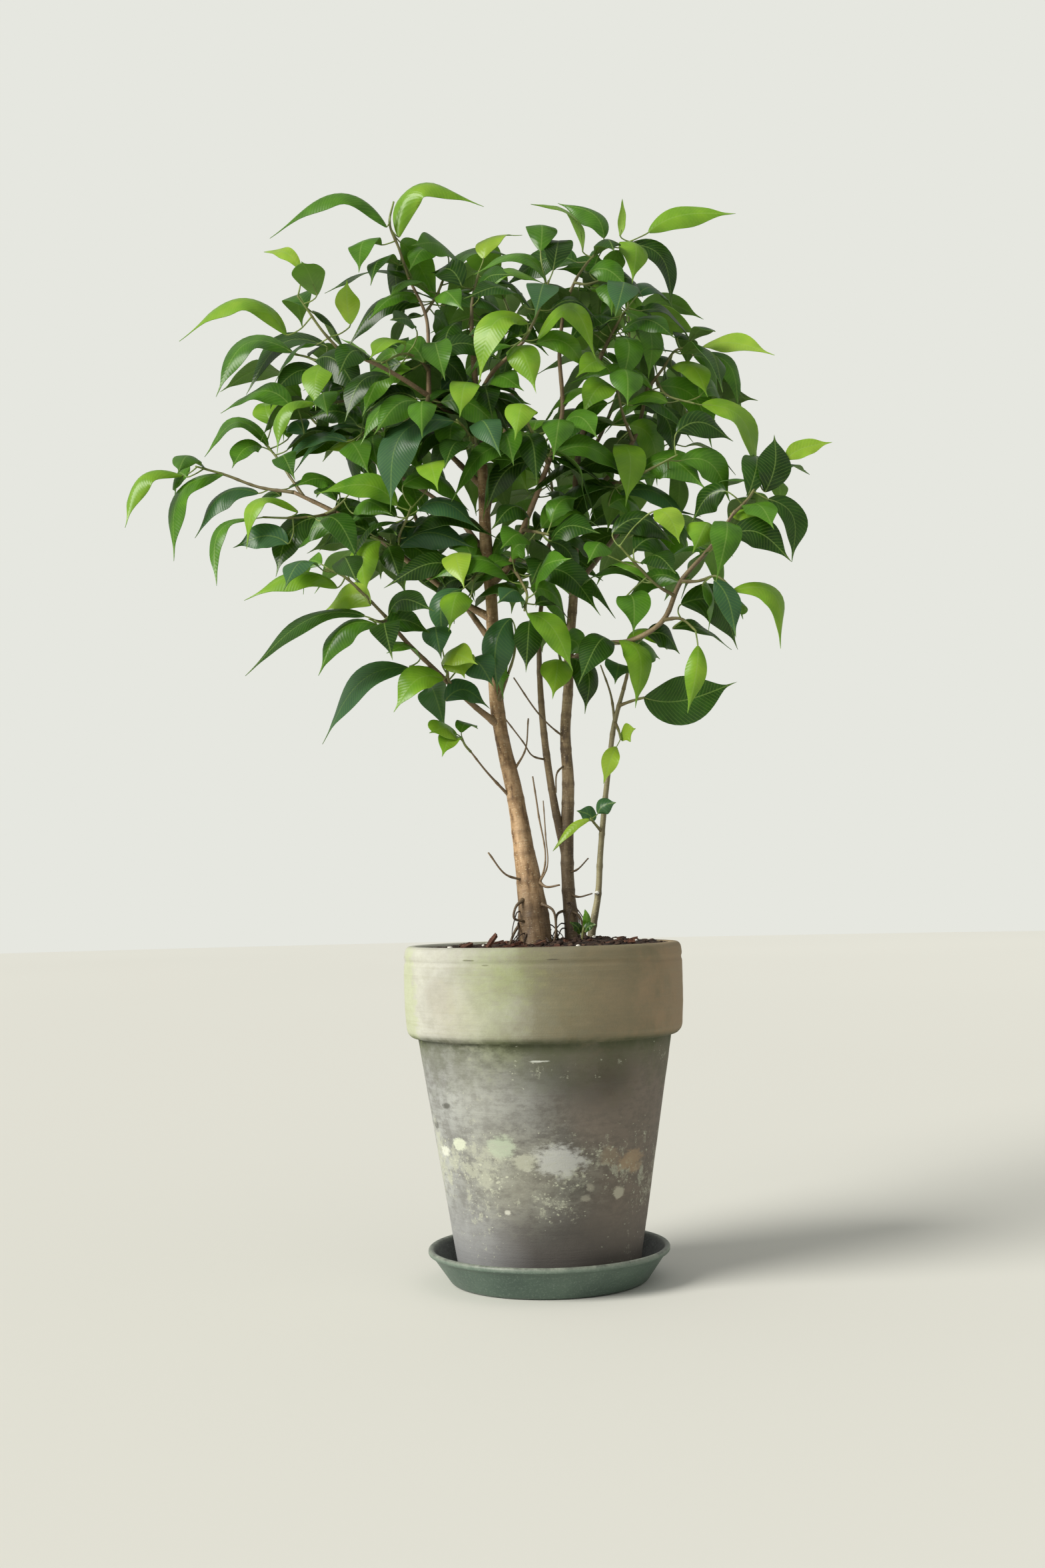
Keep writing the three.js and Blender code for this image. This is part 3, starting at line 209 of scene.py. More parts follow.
def make_piece(name, shape, material, node, sharp=None):
    """A mesh object in place of a solid. shape is points, faces and perhaps named vectors for each point."""
    points, faces, *marks = shape
    mesh = bpy.data.meshes.new(name)
    mesh.from_pydata((np.asarray(points) * MM).tolist(), [], faces)
    for mark, rows in marks[0].items() if marks else ():
        attribute = mesh.attributes.new(mark, "FLOAT_VECTOR", "POINT")
        attribute.data.foreach_set("vector", np.asarray(rows, dtype=np.float32).ravel())
    mesh.shade_smooth()
    if sharp:
        mesh.set_sharp_from_angle(angle=math.radians(sharp))
    mesh.materials.append(material)
    piece = show(name, mesh)
    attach(piece, "root")
    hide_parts(node)
    made[name] = len(faces)


# %% Fixed draws, and the faces that every round shape needs
SCATTER = (12.9898, 78.233, 43758.5453)


def chance(seed, draw):
    """A fixed number from 0 to 1 for each seed and draw: the far digits of a sine look random."""
    wave = math.sin(seed * SCATTER[0] + draw * SCATTER[1]) * SCATTER[2]
    return wave - math.floor(wave)


def between(ring, other, sides):
    """Four-cornered faces from the points that start at ring to those that start at other."""
    return [(ring + side, ring + (side + 1) % sides, other + (side + 1) % sides, other + side)
            for side in range(sides)]


def fan(centre, ring):
    """Three-cornered faces from one point to each side of a closed ring of points."""
    return [(centre, corner, after) for corner, after in zip(ring, ring[1:] + ring[:1])]


def gather(whole, part):
    """Puts each list of a part behind the same list of the whole."""
    for rows, more in zip(whole, part):
        rows += more


print("five draws:", [round(chance(1, draw), 2) for draw in range(5)])

# %% [markdown]
# ## Turned shapes
# A clay pot is thrown or pressed on a wheel and a saucer is moulded round, so both are a profile spun
# about an axis. The profile gives each corner its own rounding, because a real edge is never sharp
# and its thin highlight is what makes it look real. Ripples of a few tenths of a millimetre keep the
# wall from looking machined.

# %% A profile with rounded corners, spun round
CORNER_STEPS = 4
# A rounding takes at most this share of a side, and a band of faces is at most so many mm wide.
CORNER_SHARE = 0.45
LONGEST_BAND = 5.0


def rounded(corners):
    """The closed profile of (radius, height, rounding) corners, with its corners rounded off."""
    line = []
    for number, (radius, height, rounding) in enumerate(corners):
        here = np.array([radius, height])
        ends = []
        for other in (corners[number - 1], corners[(number + 1) % len(corners)]):
            leg = np.array(other[:2]) - here
            ends.append(here + leg * min(rounding / np.linalg.norm(leg), CORNER_SHARE))
        for part in np.linspace(0, 1, CORNER_STEPS + 1):
            line.append((1 - part) ** 2 * ends[0] + 2 * part * (1 - part) * here + part**2 * ends[1])
    filled = []
    for here, after in zip(line, line[1:] + line[:1]):
        bands = max(1, math.ceil(np.linalg.norm(after - here) / LONGEST_BAND))
        filled += [here + (after - here) * k / bands for k in range(bands)]
    return filled


def spin(profile, sides, ripple):
    """Points and faces of the profile spun about the upright axis. ripple(angle, height) is in mm."""
    points, faces = [], []
    for ring, (radius, height) in enumerate(profile):
        reaches = [(angle, radius + ripple(angle, height)) for angle in around(sides)]
        points += [(reach * math.cos(angle), reach * math.sin(angle), height) for angle, reach in reaches]
        faces += between(ring * sides, (ring + 1) % len(profile) * sides, sides)
    return points, faces


def hand_turned(angle, height):
    """A slow wobble of 0.2 mm and level finger ripples of 0.14 mm, as a turned wall has."""
    wobble = noise.noise(Vector((math.cos(angle) * 1.2, math.sin(angle) * 1.2, height * 0.03)))
    rings = noise.noise(Vector((math.cos(angle) * 0.3, math.sin(angle) * 0.3, height * 0.33)))
    return 0.2 * wobble + 0.14 * rings


print("points on a rounded corner:", CORNER_STEPS + 1)

# %% [markdown]
# ## Plastic saucer
# The saucer is polypropylene, injection moulded in dark green, with a rolled lip. Moulded plastic has
# a soft even sheen, a faint grain from the mould and pale dust or lime where water dried on the lip.
# Its colour is nearly even, so the noise only moves it by a few parts in a hundred.

# %% Saucer of moulded polypropylene
SAUCER_SIDES = 144
SAUCER_PROFILE = [
    (0.6, 0, 0.1), (62, 0, 1.0), (63.6, 1.2, 0.8), (75.1, 17.6, 1.0), (77.5, 18.4, 0.9), (77.5, 21, 0.9),
    (76.3, 22, 0.7), (74.3, 21.4, 0.8), (73.1, 19, 1.0), (62, 4.2, 1.2), (59.8, 2.2, 1.2), (0.6, 2.2, 0.1),
]


def moulded_polypropylene(tree):
    """Moulded polypropylene gives the eye a soft, even, slightly waxy sheen. Typical IOR is 1.49."""
    where = add(tree, "TexCoord").outputs["Object"]
    height = add(tree, "SeparateXYZ", [where]).outputs["Z"]
    cloud = add(tree, "TexNoise", [where, 28.0, 3.0])
    colour = add(tree, "ValToRGB", [cloud], [(0.3, "#42544A"), (0.7, "#54675A")])
    # Painted shade: the inside of the saucer, which faces up and lies between the pot and the lip, is painted
    # nearly black.
    facing = add(tree, "SeparateXYZ", [add(tree, "NewGeometry").outputs["Normal"]]).outputs["Z"]
    painted_shade_inside = add(tree, "MapRange", [facing, 0.2, 0.5, 0.0, 0.94])
    # Splashes of lime dry as fine specks on the wall, about 1 mm apart.
    specks = add(tree, "TexNoise", [where, 700.0, 3.0, 0.8])
    speckled = add(tree, "MapRange", [specks, 0.52, 0.72, 0.0, 0.4])
    # Water dries on the lip and leaves pale dust there.
    dried = add(tree, "TexNoise", [where, 120.0, 4.0, 0.7])
    on_lip = add(tree, "MapRange", [height, 18.5 * MM, 21.2 * MM])
    dust = add(tree, "MapRange", [dried, 0.35, 0.7, 0.25, 0.75])
    dusty = add(tree, "Math", [on_lip, dust], operation="MULTIPLY")
    for share, code in ((painted_shade_inside, "#191F19"), (speckled, "#8A9A8C"), (dusty, "#A3AA9C")):
        colour = add(tree, "Mix", [share, colour, code], data_type="RGBA")
    # Mould grain is about 0.1 mm and is drawn at 0.5 mm, as fine as the render can show.
    grain = add(tree, "TexNoise", [where, 2000.0, 1.0])
    bump = add(tree, "Bump", {"Strength": 0.12, "Distance": 0.0002, "Height": grain})
    gloss_and_painted_sheen = add(tree, "MapRange", [dried, 0.3, 0.8, 0.38, 0.58])
    return add(tree, "BsdfPrincipled", {
        "Base Color": colour, "Roughness": gloss_and_painted_sheen, "IOR": 1.49, "Normal": bump})


saucer = spin(rounded(SAUCER_PROFILE), SAUCER_SIDES, lambda angle, height: 0.0)
make_piece("saucer_shell", saucer, finish("moulded_polypropylene", moulded_polypropylene), "saucer")
print("saucer faces:", made["saucer_shell"])

# %% [markdown]
# ## Weathered clay pot
# The pot is terracotta, turned and fired, and has stood wet for years. Hard water came through the
# wall and left a pale lime bloom with crisp white specks, and algae tinted the collar green. The
# finish is layered like the real one: fired clay first, with painted light and shade, paler at the
# left and darker at the right, then bloom, then green, then specks, streaks and the dark line under
# the collar. Each layer is a mask from noise, height or both, and the painted light and shade from
# how far left a point lies.

# %% Profile of the pot
POT_SIDES = 180
COLLAR_RADIUS, COLLAR_UP = 90, 156.5
FOOT, SHOULDER = (57.6, 4.5), (81.8, 156)
# The inside, from the floor to the rim: radius and height of each corner.
INSIDE = [(49.6, 11.5), (75.3, 168), (81.4, 212.5)]
POT_PROFILE = [
    (9, 2.5, 0.8), (55.6, 2.5, 1.0), (*FOOT, 2.0), (*SHOULDER, 0.8), (85.6, 156.3, 1.2), (88.8, 159.5, 3.0),
    (COLLAR_RADIUS, 176, 8.0), (COLLAR_RADIUS, 202.5, 1.0), (89.3, 204.6, 1.0), (89.9, 206.8, 1.2),
    (89.5, 212, 2.0), (87.5, 214.5, 1.8), (83, 214.5, 1.4), (*INSIDE[2], 1.5), (*INSIDE[1], 3.0),
    (*INSIDE[0], 4.0), (9, 11.5, 0.8),
]
print("corners of the pot's profile:", len(POT_PROFILE))


# %% What the layers of the clay share
def clay_masks(tree):
    """Where a point lies on the pot, the noises, and the shares that several layers are made of."""
    m = SimpleNamespace(where=add(tree, "TexCoord").outputs["Object"])
    m.sideways, _, m.up = add(tree, "SeparateXYZ", [m.where]).outputs
    # Painted light and shade: the left of the pot is painted paler and the right browner and darker, as light
    # falls from the left.
    m.side = add(tree, "MapRange", [m.sideways, -80 * MM, 80 * MM])
    m.wide = add(tree, "TexNoise", [m.where, 16.0, 5.0, 0.55])
    # Turning marks run level, so the noise is squeezed along the height: streaks about 1.5 mm tall.
    level_lines = add(tree, "Mapping", {0: m.where, "Scale": (18.0, 18.0, 620.0)})
    m.streak = add(tree, "TexNoise", [level_lines, 1.0, 4.0])
    m.streaks = add(tree, "MapRange", [m.streak, 0.52, 0.78, 0.0, 0.3])
    # The bloom has worn off in fine dark mottles, 3 to 8 mm across and wider than tall.
    flat_place = add(tree, "Mapping", {0: m.where, "Scale": (120.0, 120.0, 210.0)})
    m.worn = add(tree, "TexNoise", [flat_place, 1.0, 7.0, 0.72])
    m.mottles = add(tree, "MapRange", [m.worn, 0.44, 0.6, 0.0, 0.42])
    m.thin_algae = add(tree, "TexNoise", [m.where, 42.0, 5.0, 0.66])
    # Lime came through the wall in a band between 40 and 118 mm up, as a fine crust with holes.
    rising = add(tree, "MapRange", [m.up, 40 * MM, 75 * MM])
    falling = add(tree, "MapRange", [m.up, 75 * MM, 118 * MM, 1.0, 0.0])
    m.band = add(tree, "Math", [rising, falling], operation="MULTIPLY")
    m.crusts = add(tree, "TexNoise", [m.where, 150.0, 8.0, 0.75])
    m.clouds = add(tree, "TexNoise", [m.where, 30.0, 2.0])
    m.on_collar = add(tree, "MapRange", [m.up, (COLLAR_UP - 1) * MM, (COLLAR_UP + 2) * MM])
    return m


print("the collar starts at mm:", COLLAR_UP)


# %% Clay of the wall and of the collar
def wall_clay(tree, m):
    """Fired clay in greys, painted paler at the left and darker at the right as light and shade, darker in
    level streaks and worn mottles, with a smoother foot.
    """
    leaning = add(tree, "Math", [m.wide, 1.1, 0.22], operation="MULTIPLY_ADD")
    mottle_and_painted_light = add(tree, "Math", [leaning, m.side], operation="SUBTRACT")
    colour = add(tree, "ValToRGB", [mottle_and_painted_light], [
        (0.0, "#7A7065"), (0.25, "#625E57"), (0.5, "#7E7E7A"), (0.75, "#A8AAA6"), (0.95, "#BEC0BB")])
    # The foot is smoother, and the clay there is a little violet, with painted light: paler at the left,
    # darkest in the middle and lighter again at the right, as light bounced back from that side.
    foot = add(tree, "MapRange", [m.up, 25 * MM, 60 * MM, 0.75, 0.0])
    foot_clay_painted_light = add(tree, "ValToRGB", [m.side], [(0.15, "#97989A"), (0.45, "#504C4A"), (0.85, "#7B736C")])
    # Moss and algae creep down from the collar, thinning over 50 mm.
    creeping = add(tree, "MapRange", [m.up, 105 * MM, COLLAR_UP * MM, -0.35, 0.42])
    grown_over = add(tree, "Math", [m.thin_algae, creeping], operation="ADD")
    algae = add(tree, "MapRange", [grown_over, 0.42, 0.95, 0.0, 0.8])
    gathered = add(tree, "Math", [m.clouds, 0.55, m.crusts], operation="MULTIPLY_ADD")
    lined = add(tree, "Math", [m.band, 0.16, gathered], operation="MULTIPLY_ADD")
    crust = add(tree, "MapRange", [lined, 0.93, 1.02, 0.0, 0.62])
    for share, layer in ((m.streaks, "#5A524D"), (m.mottles, "#58544C"), (foot, foot_clay_painted_light),
                         (algae, "#5C6045"), (crust, "#B4B6A2")):
        colour = add(tree, "Mix", [share, colour, layer], data_type="RGBA")
    return colour


def collar_clay(tree, m):
    """The collar is a beige of its own, and smooth, with algae and painted light: paler and greener at the
    left, darker and browner at the right.
    """
    across = add(tree, "MapRange", [m.sideways, -85 * MM, 85 * MM, 0.0, 0.8])
    algae_and_painted_light = add(tree, "Math", [m.thin_algae, 0.4, across], operation="MULTIPLY_ADD")
    colour = add(tree, "ValToRGB", [algae_and_painted_light], [
        (0.2, "#BEBEB2"), (0.3, "#B3B2A8"), (0.43, "#9D9D8D"), (0.58, "#7D7964"), (0.73, "#716A52"),
        (0.86, "#7D7359"), (0.97, "#948064")])
    faint = add(tree, "Math", [m.mottles, 0.42], operation="MULTIPLY")
    for share, code in ((m.streaks, "#8F8A70"), (faint, "#85806A")):
        colour = add(tree, "Mix", [share, colour, code], data_type="RGBA")
    return colour


def dark_line_under_collar(tree, m):
    """A patchy green black line about 5 mm deep is painted just under the collar."""
    dark_line = add(tree, "MapRange", [m.up, (COLLAR_UP - 8) * MM, (COLLAR_UP - 1) * MM])
    over = add(tree, "MapRange", [m.up, (COLLAR_UP + 1) * MM, (COLLAR_UP + 4) * MM, 1.0, 0.0])
    patchy = add(tree, "MapRange", [m.thin_algae, 0.35, 0.65, 0.35, 0.9])
    for mask in (over, patchy):
        dark_line = add(tree, "Math", [dark_line, mask], operation="MULTIPLY")
    return dark_line


print("green black line in mm:", (COLLAR_UP - 8, COLLAR_UP + 4))


# %% Patches and lime specks
# Across, height, width and height of each patch that the photograph shows, mm, colour and strength.
PATCHES = [
    (8, 85, 30, 19, "#BFC0BD", 0.8), (-28, 93, 17, 14, "#B3C2A6", 0.8), (-54, 93, 8, 8, "#D0D5BE", 0.9),
    (-63.6, 87, 6, 6, "#D4D6C8", 0.9), (51.8, 80.6, 15, 14, "#A18C70", 0.8),
    (38, 85.5, 11, 11, "#93856F", 0.6), (43, 62.3, 7, 7, "#B4B09E", 0.9), (25.5, 67, 5, 5, "#ABA796", 0.8),
    (23, 60.5, 6, 4.5, "#A6A292", 0.7), (-25, 52.6, 4.5, 3, "#C9C8BC", 0.9),
    (-4, 145.6, 11, 1.4, "#D5D7CE", 0.8), (-26, 74, 110, 60, "#ABAC9C", 0.5),
    (-14, 84, 16, 9, "#B9BAA6", 0.6), (-40, 120, 100, 80, "#9B9B90", 0.45),
    (-45, 207, 6, 1, "#4A4438", 0.7), (6, 207, 7, 1, "#4A4438", 0.7), (-35, 204, 4, 0.9, "#4A4438", 0.7),
    (-62, 116, 5, 4, "#3B3A30", 0.7), (-69.5, 102, 3, 5, "#3B3A30", 0.6),
    (-64, 184, 24, 22, "#A29D90", 0.4), (-86, 180, 16, 80, "#A9B57A", 0.4),
    (-38, 182, 50, 90, "#A2AC78", 0.32), (38, 134, 56, 40, "#37301F", 0.5),
    (4, 136, 50, 26, "#3F4131", 0.4), (6, 40, 60, 26, "#393734", 0.45), (20, 66, 40, 14, "#45433D", 0.38),
    (14, 184, 60, 44, "#6C6A48", 0.3), (-20, 198, 44, 40, "#9DAC6A", 0.28),
    (42, 186, 90, 60, "#A08E72", 0.4), (-58, 172, 60, 40, "#BDB8A4", 0.3),
]
# A patch narrower than this is even within and ragged at its edge, a wider one fades from its middle.
SMALL_PATCH = 35
# Lime specks: cells to a metre, how far a speck is solid, where it has faded, and the draw it must beat.
SPECKS = [(480.0, 0.14, 0.32, 0.98), (230.0, 0.12, 0.28, 1.08), (110.0, 0.1, 0.2, 1.25)]


def patches(tree, m):
    """Share and colour of each patch, a soft ellipse with a ragged edge from the noise."""
    edge = add(tree, "MapRange", [m.worn, 0.3, 0.7, -0.5, 0.5])
    layers = []
    for across, height, width, tall, code, strength in PATCHES:
        radius = COLLAR_RADIUS if height > COLLAR_UP else np.interp(height, *zip(FOOT[::-1], SHOULDER[::-1]))
        centre = (across * MM, -math.sqrt(radius**2 - across**2) * MM, height * MM)
        off = add(tree, "VectorMath", [m.where, centre], operation="SUBTRACT")
        sized = add(tree, "VectorMath", [off, (2000 / width, 50.0, 2000 / tall)], operation="MULTIPLY")
        away = add(tree, "VectorMath", [sized], operation="LENGTH")
        ragged = add(tree, "Math", [away, edge], operation="ADD")
        within = 0.75 if width < SMALL_PATCH else 0.0
        layers.append((add(tree, "MapRange", [ragged, 1.2, within, 0.0, strength]), code))
    return layers


def lime_specks(tree, m):
    """Specks gather in drifts: 0.5 mm ones set 2 mm apart, and drops of 1.5 to 3 mm, none on the collar.

    Each is a little wider than tall, and the noise moves them off any grid.
    """
    drifting = add(tree, "VectorMath", [m.crusts.outputs["Color"], (0.006, 0.006, 0.006), m.where],
                   operation="MULTIPLY_ADD")
    wider = add(tree, "Mapping", {0: drifting, "Scale": (1.0, 1.0, 1.5)})
    drifts = add(tree, "MapRange", [m.clouds, 0.4, 0.62, -0.4, 0.1])
    flecks = 0.0
    for scale, solid, faded, least in SPECKS:
        cells = add(tree, "TexVoronoi", [wider, scale])
        fleck = add(tree, "MapRange", [cells, solid, faded, 0.8, 0.0])
        luck = add(tree, "SeparateColor", [cells.outputs["Color"]])
        lucky = add(tree, "Math", [m.band, 0.62, luck], operation="MULTIPLY_ADD")
        gathering = add(tree, "Math", [lucky, drifts], operation="ADD")
        kept = add(tree, "Math", [gathering, least], operation="GREATER_THAN")
        shown = add(tree, "Math", [fleck, kept], operation="MULTIPLY")
        flecks = add(tree, "Math", [flecks, shown], operation="MAXIMUM")
    below = add(tree, "Math", [1.0, m.on_collar], operation="SUBTRACT")
    return add(tree, "Math", [flecks, below], operation="MULTIPLY")


print("patches on the pot:", len(PATCHES))


# %% Pot of turned, fired and weathered clay
def weathered_terracotta(tree):
    """Fired clay is open and dull. Lime bloom pales it, and only the specks have a hard edge."""
    m = clay_masks(tree)
    specks = lime_specks(tree, m)
    colour = wall_clay(tree, m)
    for share, layer in ((m.on_collar, collar_clay(tree, m)), (dark_line_under_collar(tree, m), "#3F4529"),
                         *patches(tree, m), (specks, "#BFC1AC")):
        colour = add(tree, "Mix", [share, colour, layer], data_type="RGBA")
    # The clay's grain is 0.2 mm grit, drawn at 0.8 mm.
    rise = add(tree, "TexNoise", [m.where, 1200.0, 3.0, 0.6])
    for relief in (m.streak, specks):
        rise = add(tree, "Math", [rise, relief], operation="ADD")
    bump = add(tree, "Bump", {"Strength": 0.4, "Distance": 0.0004, "Height": rise})
    dull = add(tree, "MapRange", [m.wide, 0.3, 0.7, 0.72, 0.92])
    return add(tree, "BsdfPrincipled", {"Base Color": colour, "Roughness": dull, "IOR": 1.5, "Normal": bump})


make_piece("pot_wall", spin(rounded(POT_PROFILE), POT_SIDES, hand_turned),
           finish("weathered_terracotta", weathered_terracotta), "pot")
print("pot faces:", made["pot_wall"])

# %% [markdown]
# ## Potting soil
# Soil is peat and crumbs, mounded round the stems, with strips of bark and white grains of perlite
# pressed in. A smooth mound alone looks like chocolate, so the mound gets a crumbly relief and then
# several hundred loose crumbs, each a small blob pushed about by a few fixed draws.

# %% Relief and finish of the soil
SOIL_LEVEL = 208.5


def inside_radius(height):
    """How far the pot's inner wall is from the axis, mm."""
    return float(np.interp(height, [h for _, h in INSIDE], [r for r, _ in INSIDE]))


def soil_height(x, y):
    """The mound: highest by the stems, higher on the right, banked at the left behind, with low lumps."""
    mound = 6.5 * math.exp(-((x - 12) ** 2 + y * y) / (2 * 40**2))
    right = 3 / (1 + math.exp(-(x - 20) / 10))
    lumps = math.sin(0.31 * x + 1) * math.cos(0.27 * y) + 0.7 * math.sin(0.55 * x + 0.62 * y)
    banked = 2.6 / (1 + math.exp((x + 28) / 8)) / (1 + math.exp(-(y - 4) / 8))
    return SOIL_LEVEL + mound + right + 0.9 * lumps + banked


def crumbly(x, y):
    """The height of the soil with its packed crumbs, 3 to 8 mm across, in mm."""
    coarse = noise.voronoi(Vector((x / 6.5, y / 6.5, 0.4)))[0][0]
    fine = noise.noise(Vector((x / 1.9, y / 1.9, 3.1)))
    return soil_height(x, y) + (1.1 * (0.55 - coarse) + 0.35 * fine)


def peat_mix(tree, codes, size):
    """Peat is fibrous and matt: dark, a little brown, with no shine at all."""
    where = add(tree, "TexCoord").outputs["Object"]
    lumps = add(tree, "TexNoise", [where, size, 6.0, 0.7])
    colour = add(tree, "ValToRGB", [lumps], codes)
    # Fibres of 0.2 mm are drawn at 0.7 mm.
    fibre = add(tree, "TexNoise", [where, 1400.0, 2.0])
    bump = add(tree, "Bump", {"Strength": 0.7, "Distance": 0.0006, "Height": fibre})
    dull = add(tree, "MapRange", [lumps, 0.3, 0.7, 0.88, 1.0])
    return add(tree, "BsdfPrincipled", {
        "Base Color": colour, "Roughness": dull, "Specular IOR Level": 0.25, "Normal": bump})


print("height of the soil by the stems in mm:", round(soil_height(12, 0)))

# %% Mound of potting soil
SOIL_RINGS, SOIL_SIDES = 52, 144
# The mound goes down inside the pot in a few steps. The first gap is at its rim, the second below, mm.
SOIL_STEPS = (190, 150, 100, 50, 12)
RIM_GAP, WALL_GAP = 0.35, 0.6

points = [(0, 0, crumbly(0, 0))]
for ring in range(1, SOIL_RINGS + 1):
    for angle in around(SOIL_SIDES):
        x, y = (math.cos(angle) * ring / SOIL_RINGS, math.sin(angle) * ring / SOIL_RINGS)
        edge = inside_radius(soil_height(x * 80, y * 80)) - RIM_GAP
        points.append((x * edge, y * edge, crumbly(x * edge, y * edge)))
for height in SOIL_STEPS:
    edge = inside_radius(height) - WALL_GAP
    points += [(edge * math.cos(angle), edge * math.sin(angle), height) for angle in around(SOIL_SIDES)]
points.append((0, 0, SOIL_STEPS[-1]))
rings = [1 + ring * SOIL_SIDES for ring in range(SOIL_RINGS + len(SOIL_STEPS))]
faces = fan(0, list(range(1, 1 + SOIL_SIDES)))
for ring, lower in zip(rings, rings[1:]):
    faces += [(a, d, c, b) for a, b, c, d in between(ring, lower, SOIL_SIDES)]
faces += fan(len(points) - 1, list(range(rings[-1], rings[-1] + SOIL_SIDES))[::-1])
peat = finish("damp_peat", peat_mix, [(0.3, "#15100D"), (0.5, "#2E2420"), (0.72, "#57463A")], 260.0)
make_piece("soil_mound", (points, faces), peat, "soil")
print("soil faces:", made["soil_mound"])

# %% [markdown]
# ### Crumbs, bark strips and perlite
# The loose bits lie half sunk in the mound. Each crumb starts as a twenty-sided ball, the roundest
# shape with few faces, and every corner is moved by its own draw, so no two crumbs are alike. The
# bark strips are flat and broken, so they are built from a seven-cornered outline.

# %% Crumbs and perlite
SOIL_REACH = 77.0
GOLDEN = (1 + math.sqrt(5)) / 2
SIGNS = [(a, b * GOLDEN) for a in (-1, 1) for b in (-1, 1)]
BALL = np.array([(a, b, 0) for a, b in SIGNS] + [(0, a, b) for a, b in SIGNS]
                + [(b, 0, a) for a, b in SIGNS]) / math.hypot(1, GOLDEN)


def ball_faces():
    """The twenty triangles of the ball, found as the corner triples that touch, facing out."""
    found = []
    for a, b, c in combinations(range(12), 3):
        if max(np.linalg.norm(BALL[i] - BALL[j]) for i, j in ((a, b), (b, c), (a, c))) < 1.1:
            out = np.dot(np.cross(BALL[b] - BALL[a], BALL[c] - BALL[a]), BALL[a]) > 0
            found.append((a, b, c) if out else (a, c, b))
    return found


BALL_FACES = ball_faces()


def blobs(rows):
    """Points and faces of uneven balls, one for each (x, y, z, size, seed) row."""
    points, faces = [], []
    for x, y, z, size, seed in rows:
        faces += [tuple(len(points) + corner for corner in face) for face in BALL_FACES]
        for corner, (across, behind, up) in enumerate(BALL):
            reach = size / 2 * (0.7 + 0.6 * chance(seed, corner))
            points.append((x + across * reach * 1.15, y + behind * reach, z + up * reach * 0.75))
    return points, faces


def scattered(count, least, most, seed):
    """Rows for blobs lying on the soil, evenly spread over the round."""
    rows = []
    for number in range(seed, seed + count):
        angle = FULL_TURN * chance(number, 1)
        away = SOIL_REACH * math.sqrt(chance(number, 2))
        x, y = away * math.cos(angle), away * math.sin(angle)
        size = least + (most - least) * chance(number, 3) ** 2
        rows.append((x, y, crumbly(x, y) + size * 0.12, size, number))
    return rows


crumb = finish("dry_peat_crumb", peat_mix, [(0.3, "#221915"), (0.5, "#3C2E27"), (0.72, "#6B5646")], 180.0)
crumbs = scattered(count=900, least=1.2, most=4.6, seed=500)
make_piece("soil_crumbs", blobs(crumbs), crumb, "soil", sharp=60)

# Across and behind of the larger grains, mm.
LARGE_GRAINS = [(33, -16), (46, -28), (60, -12), (-8, -46), (-44, -34), (22, -52), (-60, 2), (5, 62)]
large_grains = [(x, y, soil_height(x, y) + 1.4, 2.2 + 1.4 * chance(n, 5), 80 + n)
                for n, (x, y) in enumerate(LARGE_GRAINS)]
perlite = finish("popped_perlite", peat_mix, [(0.3, "#CFCBC0"), (0.5, "#E2DFD6"), (0.7, "#F0EEE8")], 500.0)
small_grains = scattered(count=14, least=1.2, most=2.4, seed=2600)
make_piece("perlite_grains", blobs(large_grains + small_grains), perlite, "soil", sharp=60)
print("crumbs and grains:", made["soil_crumbs"], made["perlite_grains"])

# %% Strips of bark
# Across, behind, length, turn and tilt of each strip of bark, mm and radians.
STRIPS = [(-34, -22, 17, 0.5, 0.9), (-24, -30, 20, -0.3, 0.25), (-16, -34, 15, 0.2, 0.15),
          (-50, 8, 14, 1.2, 0.2), (44, -30, 13, 0.7, 0.2), (58, 6, 12, -0.9, 0.25),
          (8, 44, 16, 0.1, 0.2), (-20, 36, 14, 1.7, 0.2)]
STRIPS += [(64 * (chance(n, 31) - 0.5) * 2, 62 * (chance(n, 32) - 0.5) * 2, 5 + 7 * chance(n, 33),
            6 * chance(n, 34), 0.5 * (chance(n, 35) - 0.3)) for n in range(300, 346)]
STRIP_OUTLINE = [(-0.5, -2.2), (-0.1, -2.7), (0.38, -2.8), (0.5, 0.4), (0.2, 2.6), (-0.1, 1.9), (-0.42, 2)]
STRIP_REACH = 72
FULL_STRIP = 13


def bark_strips():
    """Points and faces of every strip: an outline above and the same below."""
    points, faces, corners = [], [], len(STRIP_OUTLINE)
    for number, (x, y, length, turn, tilt) in enumerate(STRIPS):
        if math.hypot(x, y) > STRIP_REACH:
            continue
        wide = min(1.0, length / FULL_STRIP)
        rise = soil_height(x, y) + math.sin(abs(tilt)) * length * 0.32
        set_down = Matrix.Translation((x, y, rise)) @ Matrix.Rotation(turn, 4, "Z")
        set_down = set_down @ Matrix.Rotation(-tilt, 4, "Y")
        top = len(points)
        for bottom in (0, 1):
            for corner, (along, across) in enumerate(STRIP_OUTLINE):
                rough = 0.5 * (chance(number, corner + 7 * bottom) - 0.5)
                local = Vector((along * length, (across + rough) * wide, (0.9 + rough) * (1 - 2 * bottom)))
                points.append(tuple(set_down @ local))
        faces += [tuple(range(top, top + corners)), tuple(range(top + corners, top + 2 * corners))[::-1]]
        faces += [(a, d, c, b) for a, b, c, d in between(top, top + corners, corners)]
    return points, faces


chip = finish("shredded_pine_bark", peat_mix, [(0.3, "#2C1B16"), (0.52, "#5A3A2E"), (0.75, "#8C6A52")], 220.0)
make_piece("bark_strips", bark_strips(), chip, "soil", sharp=35)
print("strip faces:", made["bark_strips"])

